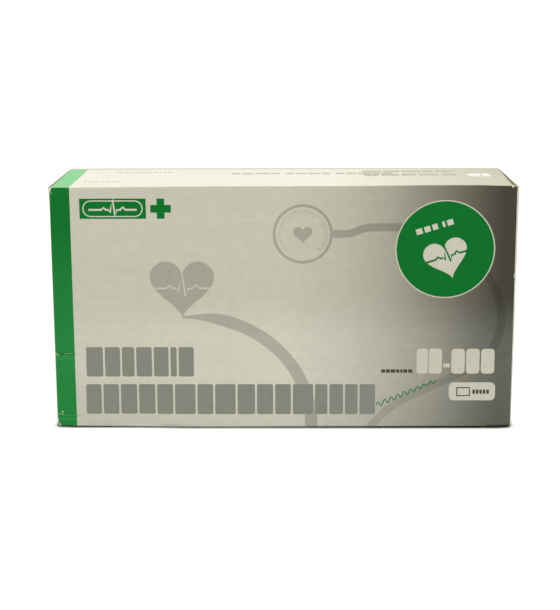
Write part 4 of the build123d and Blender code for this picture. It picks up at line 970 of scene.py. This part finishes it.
def folded_pad(name, left, right, fold_path, length, half, stations, material, slot, node):
    """A soft flat pad folded to and fro: rings across it, closed with rounded ends."""
    insets = (0.9, 1.6, 3, 4.6, 5.4, 6.4, 8.5)
    middle = steps(left + 9.5, right - left - 19, 30)
    columns = [left + e for e in insets] + middle + [right - e for e in reversed(insets)]
    edge = [(0.55, 0.62), (0.16, 0.34), (0.0, 0.0), (0.16, -0.34), (0.55, -0.62)]
    profile = [(x, 1) for x in columns] + [(right - e, h) for e, h in edge]
    profile += [(x, -1) for x in reversed(columns)] + [(left + e, -h) for e, h in edge]
    verts = []
    for s in stations:
        y, z, way_y, way_z = folded(s, *fold_path)
        close = min(s, length - s)
        taper = sqrt(max(0.03, 1 - (1 - min(1, close / 1.6)) ** 2))
        for x, face in profile:
            t = half(x, s, face) * taper
            verts.append(Vector((x, y + t * way_y, z + t * way_z)) * mm)
    count, near = len(profile), len(columns)
    faces = ring_faces(len(stations), count)
    for start in (0, (len(stations) - 1) * count):
        ring = [start + n for n in range(count)]
        top, bottom = ring[:near], ring[near + 5:2 * near + 5][::-1]
        faces += [(top[n], top[n + 1], bottom[n + 1], bottom[n]) for n in range(near - 1)]
        faces.append([top[-1]] + ring[near:near + 5] + [bottom[-1]])
        faces.append([bottom[0]] + ring[2 * near + 5:] + [top[0]])
    return mesh_piece(name, verts, faces, material, slot, node)


def fold_stations(fold_path, length, step, extra=()):
    """Places along a folded pad where a ring is made, closer at its turns and ends."""
    _, pitch, low, high, layers = fold_path
    run, turn, at = high - low, pi * pitch / 2, 0
    made = {0, 0.25, 0.7, 1.6, length, length - 0.25, length - 0.7, length - 1.6} | set(extra)
    for layer in range(layers):
        made |= {round(s, 4) for s in steps(at, run, round(run / step))}
        at += run
        if layer < layers - 1:
            made |= {round(s, 4) for s in steps(at, turn, 8)}
            at += turn
    return sorted(s for s in made if 0 <= s <= length)


def cuff_half(x, s, face):
    """Half the cuff's thickness at a point of one face: hem, sewn line, soft middle, and the pads' beds."""
    from_edge = min(x - cuff_left, cuff_right - x)
    thick = 0.62 + 0.68 * ease(0, 1.6, from_edge) if abs(face) == 1 else 1.3
    thick -= 0.42 * max(0, 1 - abs(from_edge - 5.0) / 0.9)
    thick += 0.36 * ease(5.6, 10, from_edge)
    thick -= 0.13 * (1 + noise.noise(Vector((x / 9, s / 5, face * 3.0)))) * ease(1, 4, from_edge)
    bed = 0.72 * ease(-24.6, -23.6, x) * ease(92.6, 91.6, x)
    if face > 0:
        thick -= bed * ease(11.6, 12.4, s) * ease(92.4, 91.6, s)
    if face < 0:
        thick -= bed * ease(31.3, 32.1, s - last_layer) * ease(92.1, 91.3, s - last_layer)
    return thick * face


beds = [11.5, 12.5, 91.5, 92.5] + [last_layer + e for e in (31.2, 32.2, 91.2, 92.2)]
cuff = folded_pad("cuff", cuff_left, cuff_right, cuff_fold, cuff_length, cuff_half,
                  fold_stations(cuff_fold, cuff_length, 3.0, beds), nylon, "cuff_cloth", "cuff_cover")


def rubber(name, tone, rough=0.55, grain=900.0, depth_of_grain=0.00005):
    """Black moulded rubber: a dull bloom, fine pitting, and slightly smoother high spots."""
    made, shader, place = finish(name, rough, Specular_IOR_Level=0.42, Sheen_Weight=0.08)
    bloom = noisy(place, 45.0, 5.0, 0.6)
    feed(shader, Base_Color=grey_times(linear(*tone), spread(bloom, 0.3, 0.7, 0.75, 1.35)),
         Roughness=spread(bloom, 0.3, 0.7, rough - 0.08, rough + 0.12))
    bumped(shader, noisy(place, grain, 4.0), depth_of_grain, 0.5)
    return made


bladder_rubber = rubber("bladder rubber", (52, 50, 50), 0.5, 300.0)
bladder_left, bladder_right = -28.95, 96.95
bladder_fold = (22.3, layer_pitch, 7.35, cuff_high, 2)
bladder_length = 2 * 100.7 + pi * 1.85


def bladder_half(x, s, face):
    """Half the bladder's thickness: a welded flat rim, and lightly pressed ribs inside it."""
    from_edge = min(x - bladder_left, bladder_right - x, s, bladder_length - s)
    return (0.45 + 0.3 * ease(2.5, 5.0, from_edge) - 0.05 * sin(x / 1.2) * ease(5, 8, from_edge)) * face


folded_pad("bladder_pouch", bladder_left, bladder_right, bladder_fold, bladder_length, bladder_half,
           fold_stations(bladder_fold, bladder_length, 4.0), bladder_rubber, "bladder_rubber", "bladder")


def turned(profile, place, count):
    """Points and faces of a hollow turned shape: a closed profile of (along, radius), placed by a function."""
    ways = [2 * pi * n / count for n in range(count)]
    verts = [place(a, r * cos(way), r * sin(way)) for a, r in profile for way in ways]
    return verts, ring_faces(len(profile), count, True)


port_y, barb_pitch, port_bore = 18.6, 2.2, 0.7
profile = [(-44.0, 1.45), (-43.6, 1.75)]
for barb in range(3):
    profile += [(x + barb_pitch * barb, radius) for x, radius in ((-43.2, 1.93), (-42.7, 1.93), (-41.4, 1.6))]
profile += [(-36.4, 1.7), (-36.1, 1.42), (-29.0, 1.4), (-27.5, 1.38), (-26.2, 0.9)]
profile += [(x, port_bore) for x in (-26.0, -32.0, -38.0, -44.0)]
for port_name, port_z in (("gauge", 85.0), ("bulb", 22.0)):
    verts, faces = turned(profile, lambda a, u, v: Vector((a, port_y + u, port_z + v)) * mm, 28)
    mesh_piece(port_name + "_port", verts, faces, bladder_rubber, "bladder_rubber")


# Hook and loop pads: woven nylon tapes sewn to the cuff's first and last layers with two-needle seams.
def tape(name, colour, scale, relief):
    """Tape with a dense pile: loops as fine lumps, hooks as close rows."""
    made, shader, place = finish(name, 0.9, Sheen_Weight=0.5, Sheen_Roughness=0.6, Specular_IOR_Level=0.2)
    pile = add(place, "ShaderNodeTexVoronoi", {"Vector": place, "Scale": scale}).outputs["Distance"]
    matted = noisy(place, 120.0, 4.0, 0.6)
    shade = maths("MULTIPLY", spread(pile, 0.0, 0.7, 1.25, 0.7), spread(matted, 0.3, 0.7, 0.85, 1.15))
    feed(shader, Base_Color=grey_times(linear(*colour), shade))
    bumped(shader, pile, relief)
    return made


def tape_pad(name, low, high, material, node):
    """A flat tape with rounded corners and softly rolled edges, between two corners in mm."""
    border = rounded(low[0], high[0], low[2], high[2], 3.0)
    inset = rounded(low[0] + 0.3, high[0] - 0.3, low[2] + 0.3, high[2] - 0.3, 2.7)
    levels = ((inset, low[1]), (border, low[1] + 0.2), (border, high[1] - 0.2), (inset, high[1]))
    verts = [Vector((x, y, z)) * mm for outline, y in levels for x, z in outline]
    count = len(border)
    faces = ring_faces(4, count) + [tuple(range(count)), tuple(range(4 * count - 1, 3 * count - 1, -1))]
    mesh_piece(name, verts, faces, material, name, node)


tape_left, tape_right = -23.9, 91.9
hooks = tape("hook tape", (40, 46, 62), 1100.0, 0.00035)
loops = tape("loop tape", (48, 56, 76), 620.0, 0.0004)
tape_pad("hook_tape", (tape_left, 13.2, 36.1), (tape_right, 13.88, 96.0), hooks, "hook_pad")
tape_pad("loop_tape", (tape_left, 30.72, 16.4), (tape_right, 31.4, 96.3), loops, "loop_pad")


def row_of(shape):
    """Geometry nodes that set small copies of a stitch or a tick along a line, turned to follow it."""
    group = bpy.data.node_groups.new("row of " + shape, "GeometryNodeTree")
    given_kinds = {"Line": "Geometry", "Count": "Int", "Size": "Vector", "Facing": "Vector", "Finish": "Material"}
    for socket_name, kind in given_kinds.items():
        group.interface.new_socket(name=socket_name, in_out="INPUT", socket_type="NodeSocket" + kind)
    group.interface.new_socket(name="Pieces", in_out="OUTPUT", socket_type="NodeSocketGeometry")
    given = add(group, "NodeGroupInput")
    line = add(group, "GeometryNodeMeshToCurve", {"Mesh": given.outputs["Line"]})
    spaced = add(group, "GeometryNodeResampleCurve", {"Curve": line.outputs[0], "Count": given.outputs["Count"]})
    along = add(group, "GeometryNodeInputTangent")
    level = add(group, "FunctionNodeAlignRotationToVector", {"Vector": along.outputs[0]}, axis="X")
    towards = {"Rotation": level.outputs[0], "Vector": given.outputs["Facing"]}
    square = add(group, "FunctionNodeAlignRotationToVector", towards, axis="Z", pivot_axis="X")
    if shape == "stitches":
        one = add(group, "GeometryNodeMeshUVSphere", {"Segments": 8, "Rings": 6, "Radius": 0.5})
    else:
        one = add(group, "GeometryNodeMeshCube", {"Size": (1.0, 1.0, 1.0)})
    copied = {"Points": spaced.outputs[0], "Instance": one.outputs["Mesh"], "Rotation": square.outputs[0]}
    copies = add(group, "GeometryNodeInstanceOnPoints", {**copied, "Scale": given.outputs["Size"]})
    real = add(group, "GeometryNodeRealizeInstances", {"Geometry": copies.outputs[0]})
    finished = add(group, "GeometryNodeSetMaterial", {"Geometry": real.outputs[0], "Material": given.outputs["Finish"]})
    add(group, "NodeGroupOutput", {"Pieces": finished.outputs[0]})
    return group


rows_made = {shape: row_of(shape) for shape in ("stitches", "ticks")}


def shown_mesh(piece):
    """The mesh that an object shows once its modifiers have run."""
    bpy.context.view_layer.update()
    return bpy.data.meshes.new_from_object(piece.evaluated_get(bpy.context.evaluated_depsgraph_get()))


def set_along(name, shape, points, count, size, facing, material, slot, closed=False):
    """Stitches or ticks set along a line of points in mm, made real and riding on the carton."""
    edges = [(n, n + 1) for n in range(len(points) - 1)] + ([(len(points) - 1, 0)] if closed else [])
    mesh = bpy.data.meshes.new(name)
    mesh.from_pydata([Vector(p) * mm for p in points], edges, [])
    piece = set_out(name, mesh)
    worker = piece.modifiers.new("row", "NODES")
    worker.node_group = rows_made[shape]
    values = {"Count": count, "Size": [e * mm for e in size], "Facing": facing, "Finish": material}
    for socket in rows_made[shape].interface.items_tree:
        if socket.in_out == "INPUT" and socket.name in values:
            worker[socket.identifier] = values[socket.name]
    done = shown_mesh(piece)
    piece.modifiers.clear()
    piece.data = done
    declare(piece, "carton", slot)


thread, shader, place = finish("sewing thread", 0.6, Sheen_Weight=0.3)
strands = {"Vector": place, "Scale": 900.0, "Distortion": 2.0}
twist = add(place, "ShaderNodeTexWave", strands, bands_direction="DIAGONAL").outputs["Fac"]
feed(shader, Base_Color=ramp(twist, (0.2, 56, 66, 92), (0.8, 92, 104, 134)))
bumped(shader, twist, 0.00008)


def seam(name, points, count, long, closed=False):
    """A row of stitches on the cuff's front."""
    set_along(name, "stitches", points, count, (long, 0.32, 0.2), (0, -1, 0), thread, "cuff_cloth", closed)


for seam_name, inset, count in (("outer", 1.6, 150), ("inner", 3.4, 144)):
    ring = rounded(tape_left + inset, tape_right - inset, 36.1 + inset, 96.0 - inset, 2.0)
    seam("hook_seam_" + seam_name, [(x, 13.16, z) for x, z in ring], count, 1.7, True)
for side_name, hem_x in (("left", cuff_left + 3.2), ("right", cuff_right - 3.2)):
    seam("hem_seam_" + side_name, [(hem_x, 13.56, z) for z in steps(6.0, 100.0, 20)], 42, 1.8)

# The squeeze bulb: black moulded rubber with a parting line along each side, a beaded tail that grips
# the inlet valve and a neck that grips the release valve.
bulb_black = rubber("bulb rubber", (40, 39, 39), 0.5, 520.0, 0.00007)
bulb_tail, bulb_long, bulb_y, bulb_z = -33.0, 84.0, -10.3, 23.3
bulb_middle = bulb_long / 2


def bulb_radius(a):
    """Outer radius of the bulb a distance from its tail."""
    body = 22.5 * sqrt(max(0, 1 - ((a - bulb_middle) / 37) ** 2))
    grip = 6.0 + 2.0 * ease(35, 50, a)
    soft = 3.2
    share = max(0, soft - abs(body - grip)) / soft
    bead = max(0.25 * max(0, 1 - abs(a - centre) / 0.9) for centre in (1.0, 82.9))
    worn_in = -0.25 * ease(4.5, 2.4, min(a, bulb_long - a))
    return max(body, grip) + share * share * soft / 4 + bead + worn_in


along_bulb = [0, 0.25, 0.6, 1.0, 1.5, 2.1, 2.8, 3.6, 4.4, 5.2, 6, 7, 8.2, 9.6] + [11.2 + 1.9 * n for n in range(33)]
along_bulb += [74, 75.2, 76.2, 77, 77.8, 78.6, 79.6, 80.8, 81.6, 82.3, 82.9, 83.4, 83.8, bulb_long]
outer = [(a, bulb_radius(a) - (0.3 if a in (0, bulb_long) else 0)) for a in along_bulb]
hollow = [(bulb_middle + 34.5 * cos(pi * n / 24), 20 * sin(pi * n / 24)) for n in range(2, 23)]
inner = [(bulb_long, 5.5), (78.5, 5.5)] + hollow + [(5.5, 4.0), (0, 4.0)]


def bulb_place(a, u, v):
    """A point of the bulb, with the parting line along each side."""
    ridge = 1 + 0.006 * max(0, 1 - abs(u) / 0.35) * (1 if hypot(u, v) > 5.9 else 0)
    return Vector((bulb_tail + a, bulb_y + u * ridge, bulb_z + v * ridge)) * mm


verts, faces = turned(outer + inner, bulb_place, 96)
mesh_piece("bulb", verts, faces, bulb_black, "bulb_rubber", "squeeze_bulb")

# The two hoses: black rubber tube of 8 mm, held all the way by the carton, from the gauge and from the
# bulb to the bladder's two ports. Each follows one smooth line along its route and starts in a ribbed sleeve.
hose_black = rubber("hose rubber", (38, 37, 37), 0.48, 700.0)
routes = {
    "gauge_hose": ((-82.5, 0, 31.0), (-82.5, 0, 4.8), (-57, -29, 4.8), (-57, -29, 107.6), (100, -14, 107.6),
                   (100, -20, 52.4), (-69, -20, 50.0), (-69, port_y, 85), (-36.3, port_y, 85)),
    "bulb_hose": ((65.3, bulb_y, bulb_z), (100, bulb_y, bulb_z), (100, -3, 62.0), (-69, -3, 50.1), (-69, port_y, 22),
                  (-36.3, port_y, 22)),
}


def smooth_line(name, route):
    """The points of a smooth spline whose control points are the route's."""
    curve = bpy.data.curves.new(name, "CURVE")
    curve.dimensions = "3D"
    spline = curve.splines.new("NURBS")
    spline.points.add(len(route) - 1)
    for point, place in zip(spline.points, route):
        point.co = (*(Vector(place) * mm), 1)
    spline.order_u = 3
    spline.use_endpoint_u = True
    spline.resolution_u = 28
    holder = set_out(name, curve)
    line = bpy.data.meshes.new_from_object(holder)
    points = [v.co.copy() for v in line.vertices]
    bpy.data.meshes.remove(line)
    bpy.data.objects.remove(holder)
    return points


def tube_along(line, radius_at, bore, sides=24):
    """Points and faces of a tube with a bore along a line; its radius depends on the distance and side."""
    forward = [(on - back).normalized() for back, on in zip(line[:1] + line[:-1], line[1:] + line[-1:])]
    side = forward[0].orthogonal().normalized()
    verts, rings, gone = [], [], 0.0
    for n, (point, way) in enumerate(zip(line, forward)):
        gone += (point - line[n - 1]).length if n else 0
        side = (side - way * side.dot(way)).normalized()
        rings.append((point, side.copy(), way.cross(side), gone))
    for outer_wall in (True, False):
        for point, across_way, other, gone in (rings if outer_wall else reversed(rings)):
            for k in range(sides):
                a = 2 * pi * k / sides
                r = radius_at(gone / mm, a) * mm if outer_wall else bore * mm
                verts.append(point + across_way * (r * cos(a)) + other * (r * sin(a)))
    return verts, ring_faces(2 * len(rings), sides, True)


def spaced_line(line, gap, reach=None):
    """A line's points a gap apart, as far as a reach, all in metres."""
    made, left_over, total = [line[0]], gap, 0.0
    for here, on in zip(line, line[1:]):
        span, gone = (on - here).length, 0.0
        while span - gone >= left_over:
            gone += left_over
            total += left_over
            if reach and total > reach:
                return made
            made.append(here.lerp(on, gone / span))
            left_over = gap
        left_over -= span - gone
    if not reach:
        made.append(line[-1])
    return made


def hose_surface(gone, a):
    """Outer radius of a hose: moulded, with a faint line along two sides."""
    return 3.96 + 0.04 * max(0, 1 - abs(sin(a)) / 0.2)


def sleeve_surface(gone, a):
    """Outer radius of a hose's sleeve: three ribs, then a taper to the hose."""
    rib = 0.35 * max(0, cos(gone * 2 * pi / 2.2)) * ease(8, 7, gone)
    return 4.9 + rib - 0.75 * ease(6.8, 9.8, gone) - 0.3 * ease(0.5, 0, gone)


for hose_name, route in routes.items():
    line = smooth_line(hose_name + "_line", route)
    verts, faces = tube_along(spaced_line(line, 0.0026), hose_surface, 2.0)
    mesh_piece(hose_name + "_tube", verts, faces, hose_black, "hose_rubber", hose_name)
    start = spaced_line(spaced_line(line, 0.0004), 0.0004, 0.0099)
    verts, faces = tube_along(start, sleeve_surface, 3.9, 32)
    mesh_piece(hose_name + "_ribbed_sleeve", verts, faces, hose_black, "hose_rubber", hose_name + "_sleeve")


# Metal parts keep their CAD shapes: chromed valves, nut and bezel, brass movement, steel arbors and
# screws, a bronze capsule. The case is black enamel on brass, the boot moulded plastic.
def metal(name, colour, rough, streak=0.0, tarnish=0.1):
    """Turned metal: fine tool marks, a little tarnish, and small differences in polish."""
    made, shader, place = finish(name, rough, Metallic=1.0)
    dull = noisy(place, 160.0, 5.0, 0.6)
    feed(shader, Base_Color=grey_times(linear(*colour), spread(dull, 0.35, 0.75, 1.0, 1 - tarnish)),
         Roughness=spread(dull, 0.3, 0.7, rough * 0.7, rough * 1.4))
    marks = add(place, "ShaderNodeMapping", {"Vector": place, "Scale": (300.0, 300.0, 4200.0)}).outputs[0]
    bumped(shader, noisy(marks, 1.0, 3.0), 0.00001, 0.2 + streak)
    return made


chrome = metal("chrome", (222, 222, 220), 0.1, 0.0, 0.05)
brass = metal("turned brass", (214, 178, 104), 0.28, 0.3)
steel = metal("bright steel", (186, 186, 188), 0.24, 0.2)
bronze = metal("capsule bronze", (196, 142, 92), 0.3, 0.1, 0.2)


def enamel(name, colour, rough, relief):
    """Baked enamel: an even skin with a slight orange peel, dust and fine handling marks."""
    made, shader, place = finish(name, rough, Coat_Weight=0.25, Coat_Roughness=0.2)
    peel, dust, marks = (noisy(place, *kind) for kind in ((700.0, 2.0), (60.0, 4.0), (220.0, 5.0, 0.7)))
    feed(shader, Base_Color=grey_times(linear(*colour), spread(dust, 0.3, 0.7, 0.94, 1.05)),
         Roughness=spread(marks, 0.3, 0.7, rough - 0.06, rough + 0.12))
    bumped(shader, peel, relief, 0.5)
    return made


case_black = enamel("black case enamel", (34, 34, 36), 0.3, 0.00004)
dial_white = enamel("white dial enamel", (238, 237, 230), 0.42, 0.00002)
pointer_black = enamel("black pointer enamel", (26, 26, 28), 0.4, 0.00002)
boot_black = enamel("grained boot plastic", (42, 42, 44), 0.5, 0.00016)
gasket_black = rubber("gasket rubber", (30, 30, 30), 0.6)
crystal, shader, place = finish("clear crystal", 0.03, Transmission_Weight=1.0, IOR=1.49)
feed(shader, Roughness=spread(noisy(place, 90.0, 4.0), 0.35, 0.8, 0.01, 0.07))
shader.inputs["Base Color"].default_value = (0.985, 0.99, 0.985, 1)
dressed = {
    chrome: ("gauge_bezel", "release_valve_body", "release_knob", "inlet_valve_body", "coupling_nut", "inlet_stem"),
    brass: ("sector_gear", "movement_base_plate", "movement_top_plate", "movement_posts", "movement_pillars",
            "inlet_block", "inlet_valve_retainer", "dial_feet"),
    steel: ("dial_screws", "movement_screws", "pinion_arbor", "rocking_shaft", "release_needle", "inlet_valve_ball",
            "hairspring"),
    bronze: ("pressure_capsule", "capsule_pad"),
    case_black: ("gauge_case",),
    dial_white: ("gauge_dial",),
    pointer_black: ("pointer",),
    boot_black: ("gauge_boot",),
    gasket_black: ("crystal_gasket", "outlet_duckbill"),
    crystal: ("gauge_crystal",),
}
for material, node_names in dressed.items():
    for node_name in node_names:
        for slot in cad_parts[node_name].material_slots:
            slot.material = material

# The dial is printed with a plain scale from 0 to 300 in steps of 2, with a number at every 20.
dial_face, dial_z = -94.5, 85.6
scale_black, shader, place = finish("dial print", 0.5)
uneven = spread(noisy(place, 900.0), 0.3, 0.7, 0.8, 1.5)
feed(shader, Base_Color=grey_times(linear(24, 24, 26), uneven))


def on_dial(reading, radius, lift=0.0):
    """A point of the dial at a reading of the scale, in mm."""
    way = radians(210 + reading)
    return dial_face - lift, -radius * sin(way), dial_z + radius * cos(way)


full_scale, tick_ring, number_ring = 300, 21.4, 16.9
for ticks_name, count, long, wide, lift in (("fine_ticks", 151, 1.1, 0.12, 0.02), ("ten_ticks", 31, 1.9, 0.18, 0.025),
                                            ("twenty_ticks", 16, 2.7, 0.3, 0.03)):
    arc = [on_dial(reading, tick_ring - long / 2, lift) for reading in range(full_scale + 1)]
    set_along(ticks_name, "ticks", arc, count, (wide, long, 0.02), (-1, 0, 0), scale_black, "dial_enamel")
numbers = bmesh.new()
facing_left = Matrix(((0, 0, -1), (-1, 0, 0), (0, 1, 0))).to_4x4()
for reading in range(0, full_scale + 1, 20):
    writing = bpy.data.curves.new("number", "FONT")
    writing.body = str(reading)
    writing.size = 2.7
    writing.align_x, writing.align_y = "CENTER", "CENTER"
    writing.extrude = 0.01
    holder = set_out("number", writing)
    flat = shown_mesh(holder)
    spot = Vector(on_dial(reading, number_ring, 0.03)) * mm
    flat.transform(Matrix.Translation(spot) @ facing_left @ Matrix.Scale(mm, 4))
    numbers.from_mesh(flat)
    bpy.data.objects.remove(holder)
    bpy.data.meshes.remove(flat)
declare(set_out("dial_numbers", finished_mesh("dial_numbers", numbers, scale_black)), "carton", "dial_enamel")
